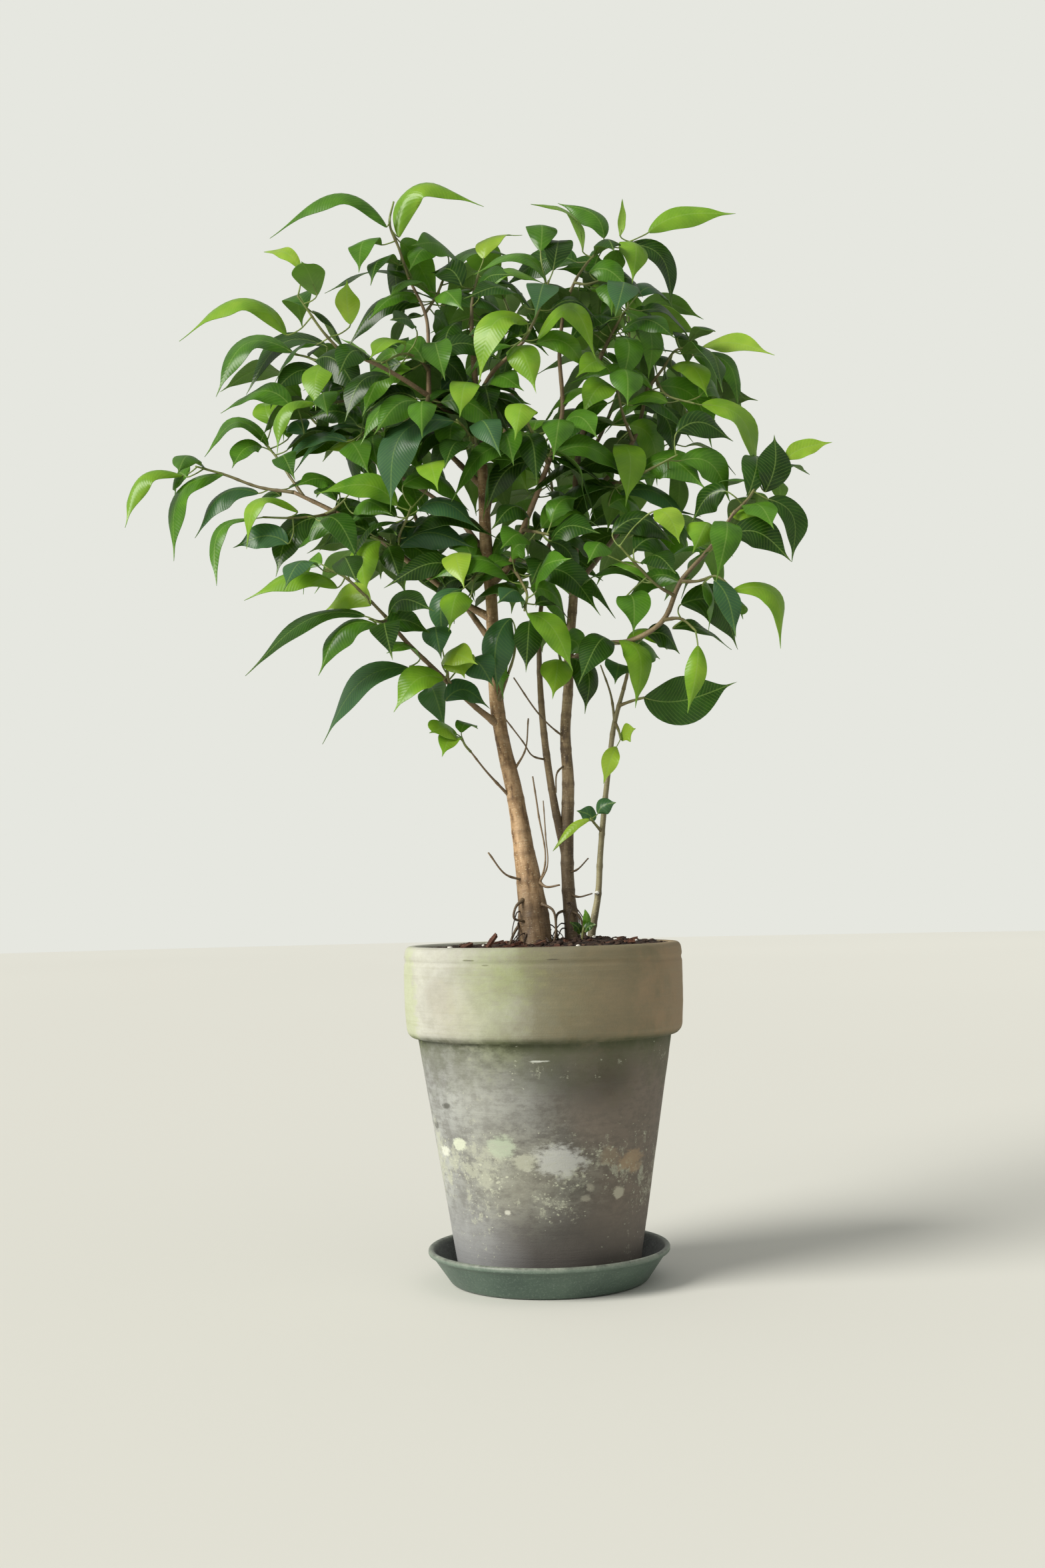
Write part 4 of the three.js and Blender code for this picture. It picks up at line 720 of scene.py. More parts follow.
# %% [markdown]
# ## Where the plant grows
# Every stem and twig is a route of points read off the photograph: how far across, how high, how far
# behind the middle of the pot, and the radius there, all in mm. The photograph sees everything from
# one eye, so a point behind the middle really lies a little further out than it looks. One function
# moves it there. The solids were placed by the same rule, which keeps each leaf on its own solid.

# %% Routes of the stems
UP = np.array([0.0, 0.0, 1.0])
FRONT = np.array([0.0, -1.0, 0.0])
CROWN_AXIS = np.array([-15.0, 15.0, 0.0])
STEM_FOOT = 186


def place(across, up, behind=0.0):
    """The point that the camera sees at (across, up) and that lies so far behind the middle, mm."""
    scale = (EYE_DISTANCE + behind) / EYE_DISTANCE
    return np.array([across * scale, behind, EYE_HEIGHT + (up - EYE_HEIGHT) * scale])


TRUNK_ROUTE = [
    (-4, STEM_FOOT, -4, 11.5), (-4.5, 217, -4, 10.6), (-7, 248, -3, 8.6), (-11, 277, -2, 6.6),
    (-14, 300, -1, 5.7), (-18.5, 325, 0, 5.2), (-23, 346, 1, 4.6), (-26, 368, 2, 4.7), (-28, 400, 3, 4.1),
    (-28.5, 440, 4, 3.9), (-31, 470, 5, 4.2), (-32, 500, 6, 3.7), (-33, 535, 6, 3.2), (-36, 580, 5, 2.3),
    (-38, 622, 4, 1.4),
]
TRUNK_LIMBS = [
    [(-27, 356, 1, 2.6), (-40, 369, -9, 1.8), (-67, 395, -34, 1.5), (-88, 417, -50, 1.3),
     (-98, 430, -55, 1.1)],
    [(-29, 427, 4, 2.8), (-45, 437, 8, 2.0), (-75, 460, 14, 1.8), (-103, 483, 18, 1.8),
     (-130, 500, 22, 1.6), (-157, 514, 26, 1.2)],
    [(-33, 543, 6, 2.4), (-50, 561, -8, 1.8), (-67, 576, -24, 1.7), (-97, 596, -40, 1.3),
     (-127, 610, -50, 0.95)],
    [(-66, 575, -24, 1.6), (-67, 600, -14, 1.3), (-68, 630, 0, 1.1), (-79, 656, 12, 0.9)],
    [(-32, 515, 6, 2.2), (-68, 548, 28, 1.5), (-98, 563, 36, 1.3), (-121, 583, 34, 1.1),
     (-136, 599, 30, 0.9)],
    [(-29, 450, 4, 2.8), (-17, 461, -7, 2.3), (-6, 488, -18, 1.9), (6, 517, -24, 1.7), (20, 558, -22, 1.5),
     (20, 605, -8, 1.3), (24, 637, 6, 1.1)],
    [(-36, 572, 5, 2.0), (-24, 592, -8, 1.4), (-12, 603, -20, 1.2), (-3, 612, -26, 1.0)],
    [(-28, 410, 4, 2.2), (-48, 440, 36, 1.7), (-72, 480, 64, 1.4), (-84, 520, 84, 1.1)],
    [(-32, 492, 6, 2.2), (-24, 525, 40, 1.7), (-14, 565, 68, 1.4), (-8, 602, 84, 1.1)],
    [(-31, 470, 5, 2.0), (-55, 500, 30, 1.5), (-95, 528, 52, 1.2), (-128, 548, 62, 1.0)],
]
TRUNK_TWIGS = [
    [(-20, 311, -2, 1.3), (-35, 328, -12, 0.8), (-44, 340, -18, 0.7)],
    [(-13, 256, -8, 1.0), (-22, 259, -13, 0.8), (-34, 274, -18, 0.7)],
    [(-1, 254, -8, 1.0), (2, 262, -10, 0.75), (-1, 300, -12, 0.7), (-4, 323, -12, 0.6)],
    [(-15, 329, -1, 1.1), (-9, 339, -6, 0.7), (-6, 361, -9, 0.6)],
    [(0, 252, -9, 0.9), (3.5, 262, -11, 0.6), (3.5, 285, -12, 0.55), (2.5, 307, -12, 0.45)],
]
TRUNK_ROOTS = [
    [(-12, 243, -10, 1.2), (-17, 238, -14, 0.8), (-18, 231, -14, 0.8), (-12, 229, -12, 0.9)],
    [(-12, 230, -4, 1.2), (-18, 222, -10, 0.9), (-22, 212, -13, 0.8)],
    [(0, 240, -10, 1.1), (7, 236, -14, 0.8), (9, 225, -14, 0.8), (7, 212, -13, 0.8)],
    [(-4, 253, -6, 1.0), (3, 251, -12, 0.8), (12, 252, -15, 0.6)],
]
SIDE_STEM_ROUTE = [
    (19, STEM_FOOT, 9, 5.6), (19.5, 219, 9, 5.0), (17.5, 250, 9, 4.2), (17.5, 283, 9, 4.2),
    (19, 320, 9, 3.9), (18, 353, 9, 3.4), (20.5, 380, 9, 3.3), (22, 410, 8, 3.2), (25, 437, 7, 3.0),
    (26.5, 465, 6, 2.7), (28, 497, 5, 2.4), (30, 530, 7, 2.0), (38, 565, 8, 1.6), (48, 603, 6, 1.2),
]
FORK_ROUTE = [
    (16, 270, 9, 3.2), (12, 292, 8, 2.7), (8, 316, 7, 2.4), (5, 340, 6, 2.3), (3, 365, 5, 2.1),
    (2, 392, 6, 1.8), (3, 425, 18, 1.5), (8, 460, 34, 1.3), (14, 500, 52, 1.0),
]
SIDE_LIMBS = [
    [(21, 398, 8, 2.0), (40, 408, 0, 1.7), (63, 411, -18, 1.6), (84, 424, -36, 1.6), (96, 449, -46, 1.5),
     (115, 470, -48, 1.2), (133, 495, -46, 1.0)],
    [(28, 498, 5, 1.9), (46, 515, 4, 1.5), (68, 545, 8, 1.4), (77, 577, 14, 1.2)],
    [(25, 445, 7, 1.8), (46, 470, 38, 1.5), (72, 505, 66, 1.2), (90, 535, 80, 1.0)],
    [(29, 520, 6, 1.7), (46, 548, 38, 1.3), (62, 585, 62, 1.1)],
]
SIDE_TWIGS = [
    [(5.7, 333, 6.3, 1.0), (-3, 336, -2, 0.7), (-10, 346, -16, 0.6), (-21, 361, -22, 0.6)],
    [(16, 348, 8, 0.9), (9, 355, 0, 0.7), (0, 365, -14, 0.7), (-15, 388, -26, 0.6)],
    [(17, 331, 8, 0.9), (12, 325, 2, 0.7), (11, 312, 0, 0.6)],
    [(18, 260, 6, 1.0), (24, 262, 1, 0.7), (31, 269, -3, 0.6)],
    [(18, 247, 7, 1.1), (24, 244, 1, 0.8), (33, 246, -3, 0.6)],
]
SIDE_ROOTS = [
    [(18, 236, 6, 1.1), (10, 233, 3, 0.8), (9, 224, 3, 0.8), (11, 212, 4, 0.8)],
    [(19, 235, 6, 1.1), (24, 232, 2, 0.8), (27, 222, 1, 0.8), (29, 211, 0, 0.8)],
]
THIN_STEM_ROUTE = [
    (31, STEM_FOOT, -3, 2.9), (32, 220, -3, 2.6), (36.5, 243, -2, 2.1), (39, 273, -1, 1.9),
    (42, 300, 0, 1.8), (46, 330, 1, 1.7), (50, 356, 1, 1.6), (57, 380, 0, 1.2),
]
THIN_STEM_TWIGS = [
    [(50.5, 358, 1, 1.2), (48.5, 374, 3, 0.9), (42, 395, 4, 0.6)],
]
print("limbs:", len(TRUNK_LIMBS) + len(SIDE_LIMBS))

# %% [markdown]
# ## Where each leaf hangs
# Each spray is a green twig with its leaves. A leaf is four numbers, its base and its tip as the
# photograph shows them, and sometimes a fifth, how far its tip leans away (above 0) or towards the eye
# (below 0), and a sixth, how high its crest stands in mm. The tones are one letter for each leaf, partly
# its own colour and partly painted light: d dark, m middle, b bright, brighter where a leaf is lit
# through from behind, y young, s for a dark leaf with a painted pale sheen. A few twigs have a side twig
# behind their leaves, and young sprays a size. The sprays behind, which the photograph hides, have a count.

# %% Sprays of leaves
def seen(name, tones, route, leaves, side=None, size=1):
    """A spray whose leaves were read off the photograph."""
    return dict(name=name, tones=tones, routes=[route, side] if side else [route], leaves=leaves, size=size)


SPRAYS = [seen("spray_" + name, *spray) for name, *spray in [
    ("top_left", "mbmd", [(-79, 655, 12, 0.9), (-85, 676, 8, 0.9), (-91, 694, 4, 0.8), (-88, 708, 2, 0.6)],
     [(-93, 691, -171, 685, -0.85, 24), (-85, 684, -28, 703, 0.25, 28), (-97, 679, -112, 660, -0.8),
      (-76, 651, -135, 645, 0.25, 12)]),
    ("top_crest", "dmmm", [(-69, 632, 0, 1.0), (-61, 643, 14, 0.9), (-53, 662, 24, 0.8)],
     [(-61, 640, -108, 625, -0.85, 14), (-53, 671, -79, 660, -0.5), (-45, 664, -77, 678),
      (-50, 654, -4, 666, 0.25, 15)]),
    ("trunk_top", "ydmd", [(-38, 620, 4, 1.4), (-37, 640, 10, 1.0), (-32, 660, 16, 0.7)],
     [(-29, 668, -3, 684, 0.5), (-45, 626, -55, 588, -0.4), (-41, 619, -31, 603, 0.4),
      (-44, 650, -64, 668, 0.6)]),
    ("middle_top", "mddmsbbb", [(-3, 611, -26, 1.0), (5, 628, -30, 0.9), (14, 652, -30, 0.8)],
     [(12, 652, -36, 657, -0.2, 14), (-3, 635, -43, 641, -0.6, 10), (17, 659, 21, 678, 0.7),
      (9, 672, 7, 685, 0.8), (11, 643, 4, 628, -0.8), (-1, 624, -34, 583, -0.5, 19),
      (6, 613, 44, 598, -0.3, 24), (-15, 604, 4, 576, -0.5)], [(-1, 615, -27, 0.9), (-4, 613, -38, 0.8),
      (1, 619, -46, 0.7)]),
    ("right_top", "bmybdbmmsd", [(24, 635, 6, 1.1), (35, 657, 10, 0.9), (48, 671, 14, 0.8),
     (70, 677, 18, 0.7)],
     [(37, 671, 3, 704, -0.85, 14), (51, 680, 21, 704, 0.3), (62, 681, 64, 706, -0.3),
      (81, 683, 139, 695, 0.25, 11), (68, 675, 95, 632, -0.2, 11), (62, 673, 69, 648, -0.6),
      (41, 657, 66, 646, -0.2), (46, 646, 55, 627, -0.4), (62, 645, 57, 627, -0.8),
      (58, 650, 76, 637, 0.3)], [(31, 650, 8, 0.9), (40, 649, -6, 0.8), (53, 653, -16, 0.7)]),
    ("side_top", "mdsmbd", [(47, 600, 6, 1.3), (57, 619, 10, 1.0), (66, 633, 14, 0.7)],
     [(64, 630, 78, 583, -0.2), (75, 630, 109, 605, 0.25, 9), (72, 640, 96, 634, 0.4),
      (60, 613, 60, 579, -0.5), (38, 618, 25, 599, 0.3), (52, 622, 42, 600, 0.5)]),
    ("right_arm", "ybmdmbdm", [(77, 576, 14, 1.2), (88, 591, 16, 0.9), (97, 603, 18, 0.8),
     (110, 605, 20, 0.6)],
     [(115, 605, 162, 598, -0.85, 9), (94, 592, 117, 571, -0.6), (116, 600, 137, 562, 0.2),
      (98, 611, 104, 588, 0.7), (84, 579, 119, 536, -0.3), (113, 566, 147, 513, 0.25, 12),
      (83, 563, 93, 531, 0.3), (112, 572, 128, 560, 0.6)], [(83, 584, 15, 0.9), (90, 573, 0, 0.8),
      (108, 567, -14, 0.7)]),
    ("inner_right", "bbmb", [(66, 542, 8, 1.2), (61, 560, -6, 1.0), (57, 580, -18, 0.8)],
     [(56, 578, 33, 560, -0.4), (52, 591, 30, 586, -0.4), (58, 590, 64, 566, -0.6),
      (56, 541, 61, 501, -0.5)]),
    ("right_middle", "mmdsm", [(46, 514, 4, 1.3), (60, 516, -12, 1.0), (80, 525, -26, 0.8),
     (96, 533, -34, 0.6)],
     [(66, 516, 116, 508, -0.85, 18), (98, 529, 130, 500), (96, 548, 133, 541, 0.2),
      (58, 508, 104, 478, -0.3, 12), (50, 500, 73, 492, 0.4)]),
    ("hanging", "ydddmm", [(92, 438, -45, 1.2), (80, 447, -56, 0.9), (66, 462, -64, 0.8),
     (56, 474, -68, 0.6)],
     [(80, 496, 96, 474, -0.3), (52, 482, 93, 472), (66, 471, 92, 467, 0.5), (70, 462, 93, 455, -0.4),
      (46, 470, 35, 462, -0.5), (60, 440, 64, 414, -0.5)]),
    ("right_tip", "ydddmbd", [(132, 493, -46, 1.1), (142, 503, -44, 0.9), (149, 514, -40, 0.8),
     (162, 526, -36, 0.6)],
     [(167, 528, 198, 539, 0.1), (153, 507, 160, 545, 0.2), (142, 505, 146, 532, 0.6), (155, 502, 169, 460),
      (138, 497, 158, 482, -0.6), (135, 494, 140, 480, -0.5), (127, 508, 104, 489, 0.4)]),
    ("right_elbow", "mdb", [(114, 468, -48, 1.1), (121, 474, -58, 0.9), (126, 484, -66, 0.7)],
     [(124, 487, 119, 448, -0.6), (128, 478, 169, 460, -0.1), (116, 484, 104, 466, -0.6)]),
    ("right_low", "sbmm", [(96, 449, -46, 1.3), (108, 449, -56, 0.9), (119, 452, -62, 0.8),
     (129, 444, -66, 0.6)],
     [(118, 449, 131, 411, -0.3), (130, 442, 160, 403), (110, 446, 113, 415, 0.4),
      (125, 436, 136, 423, 0.6)]),
    ("right_shade", "ddb", [(84, 423, -36, 1.3), (96, 424, -50, 0.9), (105, 416, -60, 0.7)],
     [(96, 434, 132, 397, -0.2), (90, 418, 128, 401, 0.4), (106, 406, 98, 362, -0.2)]),
    ("thin_top", "bbmsdd", [(56.5, 379, 0, 1.2), (60, 392, -7, 0.9), (61, 408, -14, 0.7)],
     [(55, 411, 64, 367, -0.3), (60, 412, 86, 407, -0.5), (64, 401, 81, 398, 0.5), (52, 393, 51, 382, -0.7),
      (48, 411, 27, 391, -0.4), (73, 414, 94, 405, 0.6)]),
    ("thin_side", "d", [(53, 368, 0, 1.2), (62, 371, -8, 0.9), (70, 373, -14, 0.8)],
     [(70, 373, 131, 384, -0.3)]),
    ("thin_young", "yy", [(50.5, 358, 1, 1.2), (53, 351, -6, 0.8), (54, 346, -9, 0.7)],
     [(55, 345, 64, 353, -0.3), (51, 341, 42, 317, -0.2)], None, 0.5),
    ("thin_low", "yss", [(40.3, 286, 0, 1.1), (36, 291, -6, 0.8), (33, 295, -10, 0.7)],
     [(32, 294, 8, 274, -0.2), (35, 293, 24, 298, -0.4), (38, 298, 50, 305, -0.2)], None, 0.45),
    ("side_low", "dbm", [(20.8, 383, 9, 1.4), (17, 394, -4, 1.0), (15, 403, -12, 0.8)],
     [(23, 400, 31, 363, -0.2), (12, 398, 10, 373, -0.7), (20, 412, 30, 398, 0.4)]),
    ("heart", "bmsdm", [(-15, 463, -8, 1.4), (-9, 452, -24, 1.0), (-5, 441, -36, 0.8), (-7, 432, -42, 0.7)],
     [(-5, 430, 24, 391, -0.4, 8), (1, 445, 25, 466, -0.5), (-8, 434, -25, 437, -0.6),
      (8, 462, -2, 446, -0.7), (-14, 466, -2, 478, -0.3)]),
    ("heart_side", "ddmm", [(-7, 486, -17, 1.4), (1, 484, -34, 1.0), (10, 482, -46, 0.8)],
     [(-3, 494, -28, 486, -0.4), (12, 478, 44, 482, -0.3), (-4, 478, -22, 473, -0.5),
      (12, 490, 30, 506, 0.3)]),
    ("low_twig", "bmb", [(-44, 340, -18, 0.75), (-48, 345, -22, 0.75), (-50, 350, -24, 0.6)],
     [(-51, 349, -63, 337, -0.8), (-50, 353, -39, 354, 0.5), (-53, 352, -71, 353, -0.6)], None, 0.75),
    ("low_left", "ssm", [(-66, 395, -34, 1.2), (-74, 396, -42, 0.9), (-83, 397, -48, 0.7)],
     [(-84, 396, -141, 347, -0.85, 13), (-71, 384, -60, 353, 0.7), (-76, 402, -98, 406, -0.4)]),
    ("low_cluster", "byysss", [(-54, 382, -24, 1.3), (-58, 389, -38, 0.9), (-58, 399, -48, 0.8)],
     [(-61, 388, -94, 368, -0.2), (-62, 399, -38, 397, -0.6), (-52, 400, -47, 384, -0.6),
      (-60, 374, -31, 370, 0.6), (-64, 420, -62, 401, -0.6), (-46, 399, -28, 381, -0.4)]),
    ("left_fan", "dmddd", [(-96, 427, -54, 1.1), (-102, 427, -64, 0.9), (-109, 429, -70, 0.7)],
     [(-112, 431, -191, 393, -0.85, 11), (-104, 425, -143, 391, -0.4), (-97, 421, -94, 401, -0.8),
      (-96, 431, -66, 433, -0.4), (-97, 425, -68, 418, 0.3)]),
    ("left_low_tip", "bsydm", [(-98, 430, -55, 1.0), (-113, 446, -62, 0.9), (-126, 458, -66, 0.8),
     (-137, 463, -68, 0.6)],
     [(-130, 450, -191, 443, -0.85, 10), (-139, 462, -165, 449, -0.6), (-108, 438, -139, 434, 0.5),
      (-124, 463, -116, 452, -0.8), (-140, 466, -152, 455, 0.3)]),
    ("left_curtain", "bdds", [(-94, 476, 17, 1.3), (-100, 481, 2, 0.9), (-107, 483, -10, 0.7)],
     [(-101, 480, -110, 444, -0.3), (-96, 470, -101, 455, 0.4), (-108, 486, -141, 475, 0.4),
      (-92, 488, -78, 470, -0.4)]),
    ("left_shelf", "dbmsmmsm", [(-130, 500, 22, 1.4), (-142, 498, 8, 0.9), (-158, 497, 0, 0.8),
     (-178, 498, -4, 0.6)],
     [(-143, 497, -170, 458, -0.4), (-155, 501, -189, 477, -0.3, 18), (-186, 497, -209, 451),
      (-162, 480, -198, 475, 0.4), (-130, 488, -163, 470, 0.5), (-127, 512, -157, 518, -0.4),
      (-121, 512, -97, 513, -0.3), (-118, 499, -92, 497, -0.5)], [(-137, 499, 14, 0.9), (-130, 503, 4, 0.8),
      (-123, 509, 0, 0.7)]),
    ("left_tip", "bmmsmd", [(-156, 514, 26, 1.2), (-180, 518, 30, 1.0), (-203, 527, 32, 0.9),
     (-222, 533, 32, 0.6)],
     [(-231, 527, -269, 493, -0.85, 16), (-204, 527, -237, 470, 0.25, 10), (-216, 532, -234, 528, -0.7),
      (-181, 514, -223, 485, 0.25, 10), (-228, 526, -236, 513, 0.6), (-166, 512, -186, 494, 0.5)]),
    ("left_rise", "mmmb", [(-150, 511, 25, 1.2), (-160, 525, 36, 0.9), (-170, 540, 42, 0.8),
     (-176, 547, 44, 0.6)],
     [(-174, 546, -216, 539, -0.2, 20), (-178, 545, -198, 531, -0.4), (-160, 551, -146, 548, 0.6),
      (-172, 560, -175, 575, 0.4)]),
    ("mid_left_tip", "dmdb", [(-135, 598, 30, 0.9), (-146, 604, 28, 0.8), (-158, 607, 26, 0.6)],
     [(-134, 611, -188, 580, -0.2, 16), (-157, 608, -208, 576, 0.2, 18), (-136, 592, -171, 580, -0.3),
      (-128, 599, -142, 569, -0.5)]),
    ("mid_left_low", "bmds", [(-113, 577, 35, 1.2), (-126, 574, 20, 0.9), (-145, 573, 6, 0.7),
     (-156, 571, 0, 0.6)],
     [(-141, 573, -168, 540, -0.3, 14), (-158, 571, -205, 566, 0.25, 12), (-124, 583, -139, 573, 0.6),
      (-150, 553, -162, 556, 0.4)]),
    ("mid_shelf", "ssmmy", [(-97, 562, 36, 1.3), (-105, 556, 16, 0.9), (-112, 552, 2, 0.7)],
     [(-106, 554, -158, 526, -0.3, 13), (-122, 547, -167, 531, 0.3), (-121, 542, -107, 524, -0.5),
      (-100, 548, -101, 526, -0.7), (-118, 541, -138, 534, 0.7)]),
    ("high_left_tip", "bymy", [(-126, 609, -50, 0.95), (-137, 622, -56, 0.85), (-147, 637, -60, 0.7),
     (-153, 646, -62, 0.6)],
     [(-161, 620, -232, 617, -0.85, 24), (-151, 664, -175, 676, 0.6), (-140, 646, -150, 670, -0.6),
      (-118, 626, -120, 656, -0.5)]),
    ("high_left_inner", "bmmddd", [(-67, 594, -17, 1.3), (-73, 601, -30, 0.9), (-82, 605, -42, 0.8),
     (-98, 599, -56, 0.6)],
     [(-82, 611, -106, 602, -0.5), (-70, 599, -93, 608, 0.4), (-62, 612, -56, 586, -0.5),
      (-74, 620, -92, 628, -0.3), (-105, 602, -127, 591, -0.5), (-93, 590, -123, 560, -0.3, 10)]),
    ("left_face", "mdm", [(-66, 575, -24, 1.5), (-70, 571, -40, 0.9), (-76, 568, -50, 0.7)],
     [(-71, 571, -104, 551, -0.4), (-84, 560, -96, 540, 0.5), (-66, 566, -72, 548, -0.7)]),
    ("nose", "smsdm", [(-33, 533, 6, 1.6), (-36, 540, -22, 1.0), (-37, 550, -48, 0.8)],
     [(-51, 559, -94, 498, -0.3, 18), (-49, 559, -53, 531, -0.6), (-36, 553, -20, 534, -0.9),
      (-41, 541, -58, 527, -0.5), (-28, 536, -12, 530, -0.5)], [(-36, 540, -22, 0.9), (-43, 553, -34, 0.8),
      (-49, 560, -46, 0.7)]),
    ("face", "bsmd", [(-36, 575, 5, 1.5), (-37, 581, -18, 1.0), (-33, 586, -36, 0.8)],
     [(-36, 581, -47, 560, -0.6), (-37, 583, -61, 577, -0.3), (-29, 583, -4, 578, -0.4),
      (-30, 580, -25, 558, -0.6)]),
    ("left_heart", "ssmmb", [(-88, 471, 16, 1.5), (-88, 484, -4, 0.9), (-83, 495, -20, 0.8),
     (-80, 503, -28, 0.6)],
     [(-88, 476, -38, 474, -0.3), (-76, 500, -35, 486, -0.2, 9), (-78, 497, -91, 500, -0.3),
      (-85, 517, -42, 498, 0.2), (-64, 524, -62, 512, -0.9)]),
    ("trunk_face", "ysbm", [(-30, 458, 4, 1.8), (-37, 459, -14, 1.0), (-41, 453, -28, 0.8)],
     [(-51, 470, -46, 447, -0.6), (-48, 447, -61, 411, -0.2), (-43, 440, -57, 420, -0.7),
      (-40, 466, -56, 478, 0.4)]),
    ("trunk_low", "sdmd", [(-26.5, 370, 2, 1.8), (-19.5, 388, -13, 1.0), (-14, 405, -22, 0.8),
     (-13, 419, -28, 0.6)],
     [(-16, 427, -26, 376, -0.2), (-4, 425, -7, 391, -0.4), (-20, 402, -22, 374, 0.3),
      (1, 423, 4, 404, 0.5)]),
    ("centre", "bdmmm", [(10, 528, -24, 1.4), (5, 541, -38, 1.0), (-1, 554, -48, 0.8), (-5, 563, -54, 0.6)],
     [(-3, 562, -11, 545, -0.7), (-5, 548, 3, 514, -0.4), (-20, 549, -12, 527, -0.5),
      (22, 556, 44, 545, -0.4), (18, 552, 14, 528, -0.6)]),
]]
HIDDEN_SPRAYS = [dict(name=f"spray_back_{number}", count=count, routes=[route], size=1)
                 for number, (count, *route) in enumerate([
    (6, (-84, 519, 84, 1.1), (-94, 545, 96, 0.9), (-104, 575, 104, 0.7)),
    (6, (-60, 460, 51, 1.4), (-80, 466, 78, 1.0), (-104, 470, 96, 0.7)),
    (6, (-8, 600, 84, 1.1), (-12, 628, 92, 0.9), (-20, 652, 94, 0.7)),
    (6, (-20, 545, 55, 1.4), (-38, 560, 84, 1.0), (-56, 580, 106, 0.7)),
    (5, (-127, 547, 62, 1.0), (-144, 562, 66, 0.8), (-158, 584, 66, 0.6)),
    (6, (90, 534, 80, 1.0), (102, 556, 92, 0.8), (108, 582, 96, 0.6)),
    (6, (58, 487, 52, 1.3), (78, 484, 80, 0.9), (100, 478, 98, 0.7)),
    (6, (61, 583, 61, 1.1), (66, 610, 72, 0.9), (66, 636, 76, 0.7)),
    (6, (14, 498, 52, 1.0), (12, 520, 74, 0.9), (6, 545, 94, 0.7)),
    (5, (8, 458, 33, 1.1), (-4, 464, 60, 0.9), (-16, 462, 84, 0.7)),
], 1)]
SEEDLING = seen("seedling", "ddm", [(26, 202, -13, 1.0), (26, 218, -13, 0.9), (27, 224, -14, 0.7)],
                [(24, 220, 18, 228, -0.3), (28, 221, 35, 226, -0.3), (27, 225, 28, 235, -0.2)], None, 0.3)
print("sprays:", len(SPRAYS) + len(HIDDEN_SPRAYS) + 1)

# %% Leaves that the photograph shows well: which one, its width, its turn and its crest in mm
CLOSE_LOOK = {
    "spray_top_left": {0: (0.9, 27, 23), 1: (1.1, 42, 26)},
    "spray_high_left_tip": {0: (1.0, 26, 22), 1: (0.5, 46, 6), 3: (0.72, 80, 3)},
    "spray_mid_left_tip": {0: (1.05, 40, 18), 1: (1.1, 44, 20)},
    "spray_left_tip": {0: (1.1, 34, 16), 1: (1.0, 36, 18), 3: (1.15, 40, 12)},
    "spray_left_shelf": {0: (1.2, 60, 8), 1: (0.9, 30, 20), 2: (0.7, 34, 14)},
    "spray_right_top": {2: (0.35, 30, 3), 3: (0.76, 78, 6), 4: (0.9, 50, 13)},
    "spray_right_arm": {0: (0.8, 66, 5), 2: (0.75, 60, 10), 5: (1.1, 40, 16)},
    "spray_right_tip": {0: (0.6, 70, 3)},
    "spray_right_middle": {0: (1.2, 62, 16)},
    "spray_right_shade": {0: (1.35, 62, 14), 1: (0.6, 30, 6), 2: (0.62, 70, 4)},
    "spray_left_fan": {0: (0.74, 24, 13)},
    "spray_nose": {0: (1.2, 34, 22)},
    "spray_right_low": {0: (0.75, 70, 4), 1: (0.85, 40, 17)},
    "spray_thin_side": {0: (1.5, 88, -6)},
    "spray_thin_low": {0: (0.5, 60, 3), 1: (1.2, 70, 2), 2: (1.2, 70, 2)},
    "spray_thin_young": {0: (1.3, 60, 2)},
    "spray_low_twig": {2: (1.5, 60, 3)},
}
print("leaves with a shape of their own:", sum(len(rows) for rows in CLOSE_LOOK.values()))

# %% [markdown]
# ## Growing a stem along its route
# A straight pipe from point to point would show its bends, so a smooth curve goes through the points:
# at each one its direction is the average of the legs on both sides, weighted by their lengths, which
# never loops. A stem also swells where leaves once sat, in rings 13 to 23 mm apart, and flares where a
# branch leaves it. Those rings are what says fig, so they are shaped in the mesh and not painted.

# %% Smooth routes
def placed(route):
    """Rows of x, y, z and radius for a route."""
    return np.array([[*place(*row[:3]), row[3]] for row in route])


def headings(rows):
    """The curve's direction at each row, per mm, and the length of each leg."""
    legs = np.diff(rows, axis=0)
    lengths = np.linalg.norm(legs[:, :3], axis=1)[:, None]
    slopes = legs / lengths
    inner = (slopes[:-1] * lengths[1:] + slopes[1:] * lengths[:-1]) / (lengths[1:] + lengths[:-1])
    return np.vstack([slopes[:1], inner, slopes[-1:]]), lengths[:, 0]


def on_curve(rows, share):
    """The point and radius at a share from 0 to 1 of the legs."""
    slopes, lengths = headings(rows)
    leg = min(int(share * (len(rows) - 1)), len(rows) - 2)
    t = share * (len(rows) - 1) - leg
    h = lengths[leg]
    return ((2 * t**3 - 3 * t**2 + 1) * rows[leg] + (t**3 - 2 * t**2 + t) * h * slopes[leg]
            + (3 * t**2 - 2 * t**3) * rows[leg + 1] + (t**3 - t**2) * h * slopes[leg + 1])


def smooth(rows, step):
    """Rows along the curve about every step mm."""
    lengths = headings(rows)[1]
    line = []
    for leg, length in enumerate(lengths):
        parts = max(2, round(length / step))
        line += [on_curve(rows, (leg + k / parts) / len(lengths)) for k in range(parts)]
    return np.array([*line, rows[-1]])


def unit(v):
    """A vector, or each row of them, made one long."""
    return v / (np.linalg.norm(v) if v.ndim == 1 else np.linalg.norm(v, axis=1)[:, None])


trunk_legs = np.diff(smooth(placed(TRUNK_ROUTE), 2)[:, :3], axis=0)
print("trunk length in mm:", round(float(np.linalg.norm(trunk_legs, axis=1).sum())))


# %% A skin round a route
RING_WIDTH = 1.5
RING_SPACING = 18.0


